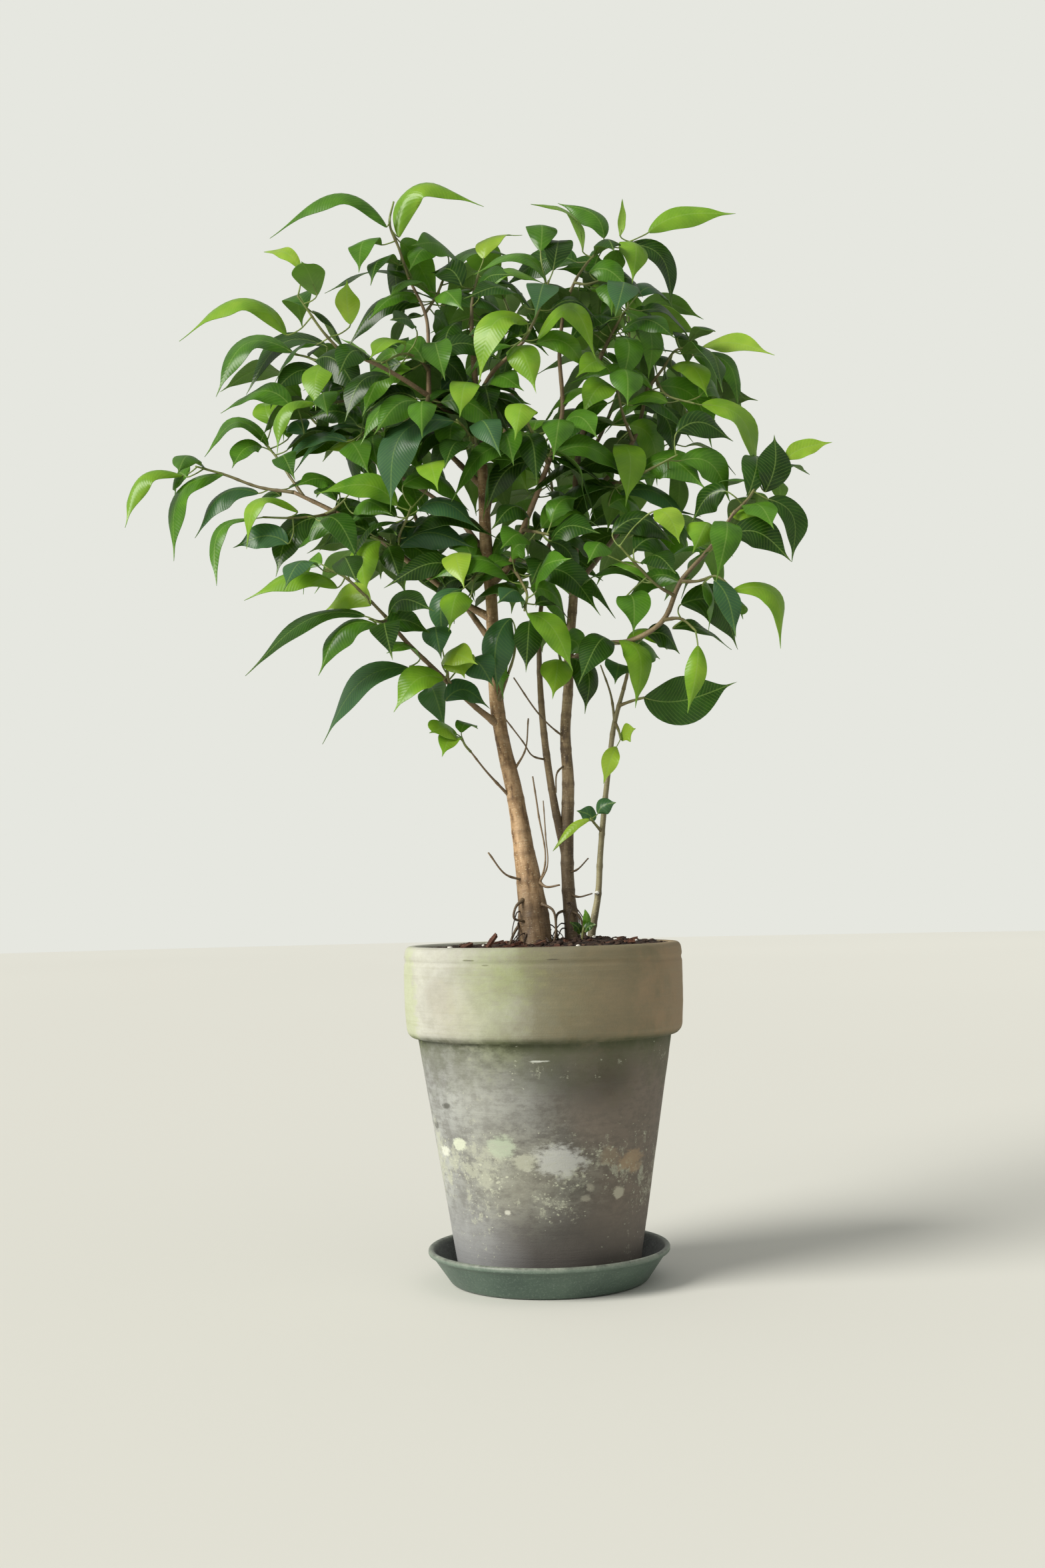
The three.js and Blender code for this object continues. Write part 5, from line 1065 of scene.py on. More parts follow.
def rings_along(length, seed, spacing):
    """How far along a stem each swelling ring is, mm."""
    rings, at = [], 6 + 8 * chance(seed, 40)
    while at < length:
        rings.append(at)
        at += spacing * (0.7 + 0.6 * chance(seed, 41 + len(rings)))
    return rings


def skin(line, sides, seed, swell=0.0, spacing=RING_SPACING, flare=0.0, start=0):
    """A closed tube along the rows, as points, faces, places on the bark and marks of the wood.

    swell is how far the rings stand out, as a share of the radius, and flare widens the base. start
    is the number of the first point.
    """
    far = np.concatenate([[0], np.cumsum(np.linalg.norm(np.diff(line[:, :3], axis=0), axis=1))])
    heading = unit(np.gradient(line[:, :3], axis=0))
    rings = rings_along(far[-1], seed, spacing)
    across = np.cross(heading[0], FRONT if abs(heading[0][1]) < 0.9 else UP)
    points, bark, wood = [], [], []
    for row, length, way in zip(line, far, heading):
        across = unit(across - way * np.dot(across, way))
        beside = np.cross(way, across)
        near = min((abs(length - ring) for ring in rings), default=99)
        swollen = math.exp(-((near / RING_WIDTH) ** 2))
        base = 1 + flare * math.exp(-length / (2.2 * row[3] + 1))
        for angle in around(sides):
            c, s = math.cos(angle), math.sin(angle)
            lump = noise.noise(Vector((c * 1.3, s * 1.3, length * 0.11 + 7 * seed)))
            radius = row[3] * base * (1 + swell * swollen + 0.05 * lump * min(1, row[3] / 2))
            points.append(row[:3] + radius * (c * across + s * beside))
            bark.append((c * row[3], s * row[3], length + 31 * seed))
            wood.append((row[3], swollen, 0))
    for end, way in ((0, -1), (-1, 1)):
        points.append(line[end, :3] + way * heading[end] * line[end, 3] * 0.5)
        bark.append((0, 0, far[end]))
        wood.append((line[end, 3], 0, 0))
    rows = [start + ring * sides for ring in range(len(line) + 1)]
    faces = []
    for ring, after in zip(rows[:-1], rows[1:-1]):
        faces += between(ring, after, sides)
    faces += fan(rows[-1], list(range(rows[0], rows[1]))[::-1])
    faces += fan(rows[-1] + 1, list(range(rows[-2], rows[-1])))
    return points, faces, bark, wood


print("rings on 100 mm of stem:", len(rings_along(100, 1, RING_SPACING)))

# %% Stems that start on one another
GRAFT_REACH = 4
grown = []


def rooted(rows):
    """The rows with their first point moved onto the nearest stem already grown, if that is near."""
    if grown:
        cloud = np.vstack([line[:, :3] for line in grown])
        away = np.linalg.norm(cloud - rows[0, :3], axis=1)
        if away.min() < GRAFT_REACH:
            rows = rows.copy()
            rows[0, :3] = cloud[away.argmin()]
    return rows


def barked(whole):
    """The shape of a skin, with the two marks that the bark's material reads."""
    points, faces, bark, wood = whole
    return points, faces, {"bark": bark, "wood": wood}


def grow(routes, seed):
    """Skins of several routes in one mesh. Each route says its sides, step, swell and flare."""
    whole = [], [], [], []
    for number, (route, sides, step, swell, flare) in enumerate(routes):
        line = smooth(rooted(placed(route)), step)
        grown.append(line)
        gather(whole, skin(line, sides, seed + number, swell, flare=flare, start=len(whole[0])))
    return barked(whole)


print("a branch starts on a stem that is nearer than", GRAFT_REACH, "mm")

# %% [markdown]
# ## Bark
# Young fig bark is smooth and thin. It carries lenticels, pale corky pores about a millimetre wide and
# wider than tall, and fine level wrinkles. The pattern has to turn with each stem, so the material
# reads the place on the bark, in mm, that was stored on the mesh. Thin twigs are darker than the trunk.

# %% Three barks from one recipe
def young_fig_bark(tree, light, middle, dark, pore, thin, darker_up_to):
    """Smooth young bark is dull with a slight polish where it is ridged. Typical IOR is 1.5."""
    skin_place = add(tree, "Attribute", attribute_name="bark").outputs["Vector"]
    wood = add(tree, "Attribute", attribute_name="wood").outputs["Vector"]
    girth, ring, _ = add(tree, "SeparateXYZ", [wood]).outputs
    # Blotches about 14 mm long and 5 mm wide.
    blotch_place = add(tree, "Mapping", {0: skin_place, "Scale": (0.22, 0.22, 0.07)})
    blotch = add(tree, "TexNoise", [blotch_place, 1.0, 5.0, 0.65])
    colour = add(tree, "ValToRGB", [blotch], [(0.34, dark), (0.48, middle), (0.64, light)])
    # Wrinkles run round the stem, about 1.2 mm apart.
    wrinkle_place = add(tree, "Mapping", {0: skin_place, "Scale": (0.16, 0.16, 0.85)})
    wrinkle = add(tree, "TexNoise", [wrinkle_place, 1.0, 3.0])
    lines = add(tree, "MapRange", [wrinkle, 0.5, 0.68, 0.0, 0.32])
    # Lenticels: 1.2 mm wide and 0.7 mm tall, 2.6 mm apart.
    pore_place = add(tree, "Mapping", {0: skin_place, "Scale": (0.38, 0.38, 0.6)})
    cells = add(tree, "TexVoronoi", [pore_place, 1.0])
    spot = add(tree, "MapRange", [cells, 0.14, 0.3, 0.75, 0.0])
    ring_share = add(tree, "Math", [ring, 0.4], operation="MULTIPLY")
    slim = add(tree, "MapRange", [girth, 3.2, 1.2, 0.0, 0.8])
    # Painted shade: the side that faces right, away from the light, is painted darker, and near the soil the
    # bark is darker, partly as wet bark and partly as painted shade.
    height = add(tree, "SeparateXYZ", [add(tree, "TexCoord").outputs["Object"]]).outputs["Z"]
    facing = add(tree, "SeparateXYZ", [add(tree, "NewGeometry").outputs["Normal"]]).outputs["X"]
    near_soil = add(tree, "MapRange", [height, darker_up_to * MM, (darker_up_to - 30) * MM, 0.0, 0.72])
    away = add(tree, "MapRange", [facing, -0.5, 0.3, 0.0, 0.45])
    painted_shade_and_wet = add(tree, "Math", [near_soil, away], operation="MAXIMUM")
    for share, code in ((lines, dark), (spot, pore), (ring_share, dark), (slim, thin), (painted_shade_and_wet, "#3A2C19")):
        colour = add(tree, "Mix", [share, colour, code], data_type="RGBA")
    rise = add(tree, "Math", [spot, wrinkle], operation="ADD")
    bump = add(tree, "Bump", {"Strength": 0.45, "Distance": 0.0004, "Height": rise})
    dull = add(tree, "MapRange", [blotch, 0.3, 0.7, 0.5, 0.72])
    return add(tree, "BsdfPrincipled", {"Base Color": colour, "Roughness": dull, "IOR": 1.5, "Normal": bump})


# Light, middle and dark bark, pores, thin twigs, and how high the darkening near the soil reaches, as wet
# bark and painted shade, mm.
BARKS = {
    "sunlit_tan_bark": ("#D6B38B", "#B08D64", "#65482D", "#DFC9A4", "#7F6D54", 268),
    "shaded_brown_bark": ("#C2AB87", "#957E5E", "#544433", "#CDBC9C", "#78674C", 325),
    "young_grey_bark": ("#B2AA88", "#968D6E", "#5E543E", "#CAC2A2", "#89825C", 238),
    "dry_fine_root": ("#5E4938", "#423127", "#2B201A", "#6E5947", "#3A2B22", 0),
}
barks = {name: finish(name, young_fig_bark, *values) for name, values in BARKS.items()}
print("barks:", list(barks))

# %% [markdown]
# ## Stems
# The trunk and the darker stem carry the crown, and the thin grey stem leans right beside them. Each
# is one piece with its limbs, dead twigs and roots, as it grew. More sides go where it is thick.

# %% Trunk, side stem and thin stem
# Sides, step in mm, swell of the rings and flare of the base.
LIMB_SHAPE = (14, 2.5, 0.1, 0.25)
TWIG_SHAPE = (8, 1.6, 0.3, 0.1)
ROOT_SHAPE = (9, 1.5, 0.05, 0.3)
# The dead twigs have shrunk: they are four fifths as thick as when they grew.
SHRUNK = 0.8


def branched(stems, limbs, twigs, roots):
    """The stems with everything that grew out of them, each route with its shape."""
    withered = [[(*row[:3], SHRUNK * row[3]) for row in twig] for twig in twigs]
    kinds = ((limbs, LIMB_SHAPE), (withered, TWIG_SHAPE), (roots, ROOT_SHAPE))
    return stems + [(route, *shape) for routes, shape in kinds for route in routes]


WOOD = [
    ("trunk_wood", "main_trunk", "tan_bark", "sunlit_tan_bark",
     branched([(TRUNK_ROUTE, 32, 1.2, 0.035, 0.12)], TRUNK_LIMBS, TRUNK_TWIGS, TRUNK_ROOTS)),
    ("side_wood", "side_stem", "brown_bark", "shaded_brown_bark",
     branched([(SIDE_STEM_ROUTE, 24, 1.4, 0.07, 0.1), (FORK_ROUTE, 18, 1.6, 0.08, 0.25)],
              SIDE_LIMBS, SIDE_TWIGS, SIDE_ROOTS)),
    ("thin_wood", "thin_stem", "grey_bark", "young_grey_bark",
     branched([(THIN_STEM_ROUTE, 16, 1.4, 0.14, 0.1)], [], THIN_STEM_TWIGS, [])),
]
for number, (name, node, slot_name, bark, routes) in enumerate(WOOD):
    make_piece(name, grow(routes, 100 * (number + 1)), barks[bark], node)
    print(name, "faces:", made[name])

# %% [markdown]
# ### Fine roots and dried sap
# Where the stems leave the soil they grow a tangle of dry roots finer than 1 mm. A rule sends each one
# out of a stem, down and aside into the soil. Two drops of latex have dried white on the thin stem.

# %% Fine dry roots and drops of sap
ROOT_COUNT = 44
ROOT_RADIUS = 0.5
# A root leaves its stem between these heights on the photograph, mostly low down.
ROOTS_FROM, ROOTS_UP_TO = 216, 240
# Across, height, behind and size of each drop, mm.
SAP = [(36.2, 246.5, -4.4, 3.4), (45.4, 327, -1.4, 3.6)]


def stem_at(route, height):
    """The middle of a stem at a height on the photograph, and its radius."""
    across, behind, radius = (np.interp(height, [row[1] for row in route], [row[k] for row in route])
                              for k in (0, 2, 3))
    return place(across, height, behind), radius


def level_way(angle):
    """The level direction at an angle from the right."""
    return np.array([math.cos(angle), math.sin(angle), 0])


fine = [], [], [], []
for number in range(ROOT_COUNT):
    draws = [chance(7000 + number, draw) for draw in range(8)]
    height = ROOTS_FROM + (ROOTS_UP_TO - ROOTS_FROM) * draws[0] ** 2
    middle, radius = stem_at((TRUNK_ROUTE, SIDE_STEM_ROUTE)[number % 2], height)
    angle = FULL_TURN * draws[1]
    root = [middle + 0.8 * radius * level_way(angle)]
    for bend, drop in zip(draws[2:5], (1.0 - 2.0 * draws[5], -1.5 - 5 * draws[6], -3 - 6 * draws[7])):
        angle += 2.2 * (bend - 0.5)
        root.append(root[-1] + (2 + 3.2 * draws[3]) * level_way(angle) + UP * drop)
    sunk = root[-1] * (1, 1, 0) + UP * (soil_height(*root[-1][:2]) - 2)
    rows = np.array([[*point, ROOT_RADIUS - 0.07 * step] for step, point in enumerate([*root, sunk])])
    line = smooth(rows, 1.6)
    gather(fine, skin(line, 6, 7100 + number, swell=0.1, spacing=5.0, flare=0.2, start=len(fine[0])))
make_piece("fine_roots", barked(fine), barks["dry_fine_root"], "side_stem")

drops = blobs([(*place(*row[:3]), row[3], 90 + n) for n, row in enumerate(SAP)])
sap = finish("dried_white_latex", peat_mix, [(0.3, "#D9D8D0"), (0.5, "#E9E8E2"), (0.7, "#F4F3EE")], 400.0)
make_piece("sap_drops", drops, sap, "thin_stem", sharp=60)
print("fine roots and drops:", made["fine_roots"], made["sap_drops"])

# %% [markdown]
# ## Leaf shape
# A weeping fig leaf is a pointed oval of about 60 mm with a drawn-out drip tip. It is held by a thin
# stalk, arches down and is folded a little along its midrib, with a rippled edge. The solids have each
# leaf's place, bend and turn. The fold, ripple, outline and stalk are finer here: a grid of 26 by 10
# patches above and the same below, joined along the edge, so that the leaf has a real thickness.

# %% Bend and turn of a leaf
LEAF_LENGTH = 62.0
LEAF_HALF_WIDTH = 0.195
PETIOLE_LENGTH = 10.0
ARCH = 0.2
# The crest of an arch of 1 is this high.
ARCH_PEAK = 1.05


def without(v, axis):
    """What is left of v across the axis."""
    return v - axis * np.dot(v, axis)


def shape_leaf(base, tip, size, towards, turn, seed):
    """All that fixes one leaf: its midrib's arch, the way it faces, its half width and its wave."""
    chord = tip - base
    length = float(np.linalg.norm(chord))
    direction = chord / length
    outward = unit((base - CROWN_AXIS) * (1, 1, 0))
    bulge = unit(without(UP + 0.35 * outward, direction))
    angle = math.radians(turn)
    face = unit(bulge * math.cos(angle) + without(towards, direction) * math.sin(angle))
    return dict(base=base, tip=tip, chord=chord, bulge=bulge, face=face, length=length,
                arch=length * ARCH * (0.75 + 0.5 * chance(seed, 1)),
                half=max(length, 0.9 * LEAF_LENGTH * size) * LEAF_HALF_WIDTH * (0.9 + 0.2 * chance(seed, 2)),
                wave=1.6 * (chance(seed, 3) - 0.5), phase=6 * chance(seed, 4), seed=seed)


print("longest leaf in mm:", LEAF_LENGTH)

# %% Where the stalks grow from
# Each route is tried at so many places. One nearer than the spacing, mm, to another stalk's counts as
# this many mm too far from its leaf.
ROOT_SAMPLES = 21
ROOT_SPACING = 2.4
CROWDED = 20


def straight_on(route, share):
    """The point at a share of the route's legs, on straight lines, as the solids have it."""
    leg = min(int(share * (len(route) - 1)), len(route) - 2)
    part = share * (len(route) - 1) - leg
    return place(*route[leg][:3]) * (1 - part) + place(*route[leg + 1][:3]) * part


def roots_of(spray):
    """For each leaf of a seen spray: which route its stalk grows from, at what share, and the point."""
    places = [(which, 0.2 + 0.78 * i / (ROOT_SAMPLES - 1))
              for which in range(len(spray["routes"])) for i in range(ROOT_SAMPLES)]
    points = [straight_on(spray["routes"][which], share) for which, share in places]
    stalk = 0.8 * PETIOLE_LENGTH * spray["size"]
    taken = []
    for across, up, *_ in spray["leaves"]:
        def cost(number):
            point = points[number]
            crowded = any(np.linalg.norm(point - points[other]) < ROOT_SPACING for other in taken)
            away = np.linalg.norm(point - place(across, up, point[1]))
            return abs(away - stalk) + (CROWDED if crowded else 0)
        taken.append(min(range(len(points)), key=cost))
    return [(*places[number], points[number]) for number in taken]


print("stalks of the first spray grow from:", [round(share, 2) for _, share, _ in roots_of(SPRAYS[0])])

# %% Seen leaves and ruled leaves
# Where leaves would touch, the solid's leaf was bent aside by the first of these that cleared it:
# how far aside or behind, and how far up.
BENDS = [(0, 0), (7, 1), (-7, -1), (14, 2), (-14, -2), (21, -3), (-21, 3), (28, 4), (-28, -4), (10, 9),
         (-10, 9), (18, -9), (-18, -9), (36, 6), (-36, 6), (44, -7), (-44, -7), (30, 14), (-30, 14)]
SAME_POINT = 0.05
# How a seen leaf leans when its row doesn't say so, and the turn of a leaf with a crest of its own.
LEANS = (-0.85, 0.25)
ARCHED_TURN, FLAT_TURN = (18, 26), (30, 45)


def seen_leaf(spray, root, index, seed, bend):
    """A leaf whose base and tip were read off the photograph."""
    base_across, base_up, tip_across, tip_up, *more = spray["leaves"][index]
    size = spray["size"]
    flat = math.hypot(tip_across - base_across, tip_up - base_up)
    full = LEAF_LENGTH * size * (0.84 + 0.16 * chance(seed, 6))
    lean = more[0] if more else LEANS[index % 2]
    depth = math.sqrt(max(full**2 - flat**2, 0)) * lean
    behind = root[1] + 3 * (chance(seed, 7) - 0.5) + 0.4 * bend[0]
    base = place(base_across, base_up, behind)
    tip = place(tip_across, tip_up + bend[1], behind + depth + 0.6 * bend[0])
    # An arched leaf is seen more from its side, so that its crest shows.
    crest = more[1] if len(more) > 1 else None
    least, further = FLAT_TURN if crest is None else ARCHED_TURN
    as_ruled = (1, least + further * chance(seed, 8), crest)
    wider, turned, crest = CLOSE_LOOK.get(spray["name"], {}).get(index, as_ruled)
    leaf = shape_leaf(base, tip, size, FRONT, turned, seed)
    leaf["half"] *= wider * (0.84 + 0.16 * min(1, flat / full))
    return leaf if crest is None else {**leaf, "arch": crest / ARCH_PEAK}


def ruled_leaf(spray, index, seed, bend):
    """A leaf of a hidden spray: leaves stand left and right in turn, and droop."""
    route, count = spray["routes"][0], spray["count"]
    share = 0.3 + 0.68 * index / (count - 1)
    root = straight_on(route, share)
    along = unit(straight_on(route, share + 0.01) - straight_on(route, share - 0.01))
    swing = unit(np.cross(along, UP))
    sideways = swing * (0 if index == count - 1 else (1 if index % 2 else -1))
    reach = along * 0.5 + sideways * 0.85 + UP * (-0.15 - 0.75 * chance(seed, 6))
    stalk = along * 0.6 + sideways * 0.6 + UP * 0.25
    base = root + unit(stalk) * PETIOLE_LENGTH + swing * 0.3 * bend[0]
    length = 0.9 * LEAF_LENGTH * (0.8 + 0.3 * chance(seed, 7))
    tip = base + unit(reach) * length + swing * 0.7 * bend[0] + UP * bend[1]
    towards = unit((root - CROWN_AXIS) * (1, 1, 0))
    return share, shape_leaf(base, tip, 1, towards, 10 + 40 * chance(seed, 8), seed)


def nearest_solid_leaf(make, corners):
    """The leaf whose tip is a corner of the solid, found by trying each bend."""
    for bend in BENDS:
        leaf = make(bend)
        if corners.find(leaf["tip"])[2] < SAME_POINT:
            return leaf, True
    return make((0, 0)), False


print("bends that are tried:", len(BENDS))

# %% [markdown]
# ### The blade's grid
# The patches are narrower at the midrib, where the groove is, and at both ends, where the outline
# turns quickly. Each corner stores its place on the blade in mm and which side it is on, so that the
# material can draw the midrib and the side veins at their real size whichever way the leaf hangs.

# %% Outline and midrib
STATIONS = 0.5 - 0.5 * np.cos(np.linspace(0, math.pi, 28))[:-1]
COLUMNS = np.array([-1, -0.8, -0.55, -0.28, -0.08, 0, 0.08, 0.28, 0.55, 0.8, 1])
HALF_THICKNESS = 0.17
DRIP_TIP = 0.9


def half_widths(half):
    """Half the leaf's width at each station: an oval with a round base, then a narrow drip tip."""
    share = np.clip(STATIONS / 0.9, 0, 1)
    oval = np.sin(np.pi * share**0.86).clip(0) ** (0.8 + 0.55 * share**2) * half
    return np.hypot(oval, DRIP_TIP * np.minimum(1, (1 - STATIONS) / 0.14))


def midrib(leaf, t):
    """The midrib's points at stations t."""
    t = np.asarray(t)[:, None]
    return leaf["base"] + leaf["chord"] * t + leaf["bulge"] * 4 * t * (1 - t) * (1.5 - t) * leaf["arch"]


print("patches on a leaf:", 2 * (len(STATIONS) - 1) * (len(COLUMNS) - 1))

# %% Relief of a blade, and its faces
# Half a blade must be this wide, mm, for its full ripple, and this wide for its full groove.
RIPPLED, GROOVED = 6, 3


def lift_of(leaf, half):
    """How far each corner of the grid stands off the flat: fold, rippled edges and a slow sway."""
    seed, phase = leaf["seed"], leaf["phase"]
    narrow = np.minimum(1, half / RIPPLED)[:, None]
    # Some blades are folded up along the midrib, and more of them are rounded over it.
    fold = (0.5 * chance(seed, 11) - 0.44) * half[:, None] * (np.abs(COLUMNS) ** 1.6 - 0.4)[None, :]
    ripple = np.sin(STATIONS * (8 + 5 * chance(seed, 12)) + phase)[:, None]
    other = np.sin(STATIONS * (9 + 5 * chance(seed, 13)) + 2 * phase + 1)[:, None]
    edge = np.where(COLUMNS < 0, ripple, other) * 0.9 * COLUMNS**2 * narrow
    sway = (leaf["wave"] * np.sin(7 * STATIONS + phase))[:, None] * COLUMNS
    return fold + edge + sway * narrow


def blade_faces(start, rows, columns):
    """Faces of a sheet above, the same below, the edge that joins them and the point at the tip."""
    size = rows * columns
    i, j = (n.ravel() for n in np.meshgrid(range(rows - 1), range(columns - 1), indexing="ij"))
    top = start + i * columns + j
    quads = np.stack([top, top + columns, top + columns + 1, top + 1], axis=1)
    faces = [tuple(q) for q in [*quads.tolist(), *(quads[:, ::-1] + size).tolist()]]
    for a in range(start, start + size - columns, columns):
        b, c, d = a + columns, a + columns - 1, a + 2 * columns - 1
        faces += [(a, a + size, b + size, b), (c, d, d + size, c + size)]
    end, last = start + 2 * size, start + size - columns
    for j in range(columns - 1):
        a, b = start + j, last + j
        faces += [(a, a + 1, a + 1 + size, a + size), (b, end, b + 1), (b + size, b + 1 + size, end)]
    return faces + [(last, last + size, end), (last + columns - 1, end, last + columns - 1 + size)]


print("faces of a blade:", len(blade_faces(0, len(STATIONS), len(COLUMNS))))


# %% Blades as meshes
FULL_TWIST = math.radians(50)


def blade(leaf, tone, gloss_and_painted_sheen, start):
    """Points, faces and marks of one leaf blade, closed all round."""
    seed = leaf["seed"]
    line = midrib(leaf, STATIONS)
    along = unit(np.gradient(line, axis=0))
    face = unit(leaf["face"] - along * (along @ leaf["face"])[:, None])
    across = np.cross(face, along)
    # The blade twists up to 25 degrees either way between its base and its tip.
    twist = (FULL_TWIST * (chance(seed, 17) - 0.5) * (STATIONS - 0.35))[:, None]
    face, across = (face * np.cos(twist) + across * np.sin(twist),
                    across * np.cos(twist) - face * np.sin(twist))
    half = half_widths(leaf["half"])
    wide = half[:, None] * COLUMNS[None, :]
    lift = lift_of(leaf, half)
    groove = np.exp(-((wide / 0.7) ** 2)) * np.minimum(1, half / GROOVED)[:, None]
    centre = line[:, None, :] + across[:, None, :] * wide[:, :, None]
    upper = centre + face[:, None, :] * (lift + HALF_THICKNESS - 0.12 * groove)[:, :, None]
    lower = centre + face[:, None, :] * (lift - HALF_THICKNESS - 0.35 * groove)[:, :, None]
    points = [*upper.reshape(-1, 3), *lower.reshape(-1, 3), leaf["tip"]]
    reach = np.broadcast_to((STATIONS * leaf["length"])[:, None], wide.shape)
    flat = np.stack([wide, reach, np.zeros_like(wide)], axis=-1).reshape(-1, 3)
    places = [*flat, *(flat + (0, 0, 1)), (0, leaf["length"], 0.5)]
    # Each point carries the leaf's tone and its share of painted sheen.
    marks = [(tone, 0, gloss_and_painted_sheen)] * len(points)
    return points, blade_faces(start, *wide.shape), places, marks


print("a blade is", 2 * HALF_THICKNESS, "mm thick")


# %% Stalks
STALK_RADIUS = 0.46


def stalk(leaf, rows, share, radius):
    """Rows of the stalk: off the twig, along to the blade and a little way under its midrib."""
    start = on_curve(rows, share)[:3]
    base = leaf["base"]
    under = midrib(leaf, [0.05, 0.16]) - leaf["face"] * 0.25
    gap = np.linalg.norm(base - start)
    middle = (start + base) / 2 + (unit(base - start) - unit(under[0] - base)) * 0.12 * gap
    below = base - leaf["face"] * 0.2
    return np.array([[*start, radius * 1.25], [*middle, radius], [*below, radius],
                     [*under[0], radius * 0.7], [*under[1], radius * 0.35]])


print("a stalk is", 2 * STALK_RADIUS, "mm thick")

# %% [markdown]
# ## Leaf finish
# A fig leaf is thin living tissue under a clear waxy cuticle. The cuticle gives crisp pale sheens, and
# the tissue lets light through, so a leaf lit from behind glows yellow green. Two shaders are mixed
# for that: a glossy one for the cuticle and a translucent one for the light that comes through. The
# tone stored on each leaf runs from dark to bright, partly from old to young and partly as painted
# light, brighter where a leaf is lit through from behind, and some dark leaves carry a painted pale sheen.

# %% Waxed leaf
def waxed_fig_leaf(tree):
    """Cuticle wax is a clear coat over green tissue. Typical IOR is 1.45, roughness about 0.3."""
    blade_place = add(tree, "Attribute", attribute_name="blade").outputs["Vector"]
    across, along, underside = add(tree, "SeparateXYZ", [blade_place]).outputs
    leaf = add(tree, "Attribute", attribute_name="leaf").outputs["Vector"]
    tone, _, sheen = add(tree, "SeparateXYZ", [leaf]).outputs
    where = add(tree, "TexCoord").outputs["Object"]
    # Clouds about 12 mm across make one leaf differ from itself.
    cloud = add(tree, "TexNoise", [where, 80.0, 3.0])
    drift = add(tree, "MapRange", [cloud, 0.3, 0.7, -0.09, 0.09])
    age_and_painted_light = add(tree, "Math", [tone, drift], operation="ADD")
    # The tone is partly the leaf's age and partly painted light, brighter where a leaf is lit through from
    # behind.
    colour = add(tree, "ValToRGB", [age_and_painted_light], [
        (0.0, "#142B0C"), (0.3, "#37621F"), (0.55, "#60952A"), (0.78, "#8CB834"), (1.0, "#AECD45")])
    # Side veins leave the midrib at a slant, about 2.4 mm apart, and barely show.
    off_rib = add(tree, "Math", [across], operation="ABSOLUTE")
    slant = add(tree, "Math", [off_rib, -0.75, along], operation="MULTIPLY_ADD")
    turns = add(tree, "Math", [slant, 2.6], operation="MULTIPLY")
    veins = add(tree, "Math", [turns], operation="SINE")
    vein_share = add(tree, "MapRange", [veins, 0.55, 1.0, 0.0, 0.16])
    # The midrib is 0.4 mm wide and is drawn at 0.8 mm, as wide as it needs to show.
    rib = add(tree, "MapRange", [off_rib, 0.2, 0.55, 0.34, 0.0])
    pale_below = add(tree, "Math", [underside, 0.5], operation="MULTIPLY")
    # Painted sheen: a dark leaf marked s gets pale blue green mixed into its colour, as a painted reflection
    # of the window.
    for share, code in ((sheen, "#5C8A72"), (vein_share, "#9DBA5A"), (rib, "#A9C86A"),
                        (pale_below, "#8FB060")):
        colour = add(tree, "Mix", [share, colour, code], data_type="RGBA")
    rise = add(tree, "Math", [veins, 0.3, cloud], operation="MULTIPLY_ADD")
    bump = add(tree, "Bump", {"Strength": 0.18, "Distance": 0.0004, "Height": rise})
    gloss_and_painted_sheen = add(tree, "MapRange", [underside, 0.0, 1.0, 0.29, 0.55])
    cuticle = add(tree, "BsdfPrincipled", {
        "Base Color": colour, "Roughness": gloss_and_painted_sheen, "IOR": 1.45, "Normal": bump})
    glow = add(tree, "Mix", [0.62, colour, "#A6CF32"], data_type="RGBA")
    through = add(tree, "BsdfTranslucent", [glow, bump])
    return add(tree, "MixShader", [0.4, cuticle, through])


fig_leaf = finish("waxed_fig_leaf", waxed_fig_leaf)
print("leaf:", fig_leaf.name)


# %% Green twig
def green_fig_twig(tree):
    """A twig of this year is green, turning to thin bark, with a soft gloss."""
    skin_place = add(tree, "Attribute", attribute_name="bark").outputs["Vector"]
    wood = add(tree, "Attribute", attribute_name="wood").outputs["Vector"]
    girth, ring, _ = add(tree, "SeparateXYZ", [wood]).outputs
    # Mottles about 6 mm long and 2 mm wide.
    stretch = add(tree, "Mapping", {0: skin_place, "Scale": (0.5, 0.5, 0.16)})
    mottle = add(tree, "TexNoise", [stretch, 1.0, 4.0])
    colour = add(tree, "ValToRGB", [mottle], [(0.3, "#5C7030"), (0.5, "#748840"), (0.7, "#8E9E52")])
    older = add(tree, "MapRange", [girth, 0.6, 1.0, 0.0, 0.9])
    ring_share = add(tree, "Math", [ring, 0.5], operation="MULTIPLY")
    for share, code in ((older, "#73644A"), (ring_share, "#5B4C32")):
        colour = add(tree, "Mix", [share, colour, code], data_type="RGBA")
    bump = add(tree, "Bump", {"Strength": 0.3, "Distance": 0.0003, "Height": mottle})
    gloss_and_painted_sheen = add(tree, "MapRange", [mottle, 0.3, 0.7, 0.42, 0.55])
    return add(tree, "BsdfPrincipled", {
        "Base Color": colour, "Roughness": gloss_and_painted_sheen, "IOR": 1.45, "Normal": bump})


fig_twig = finish("green_fig_twig", green_fig_twig)
print("twig:", fig_twig.name)

# %% [markdown]
# ## Sprays
# Now every leaf is placed. Where two leaves would have touched, the solid's leaf was bent aside, so
# each blade looks for the corner of the solid that its tip should meet and takes that leaf's bend.

# %% Place the leaves that the solids have
TONES = {"d": 0.12, "m": 0.47, "b": 0.76, "y": 0.97, "s": 0.2}
HIDDEN_TONES = "ddmmb"
# The share of painted sheen, a pale reflection mixed into the colour, on a dark leaf marked s.
PAINTED_SHEEN = 0.35


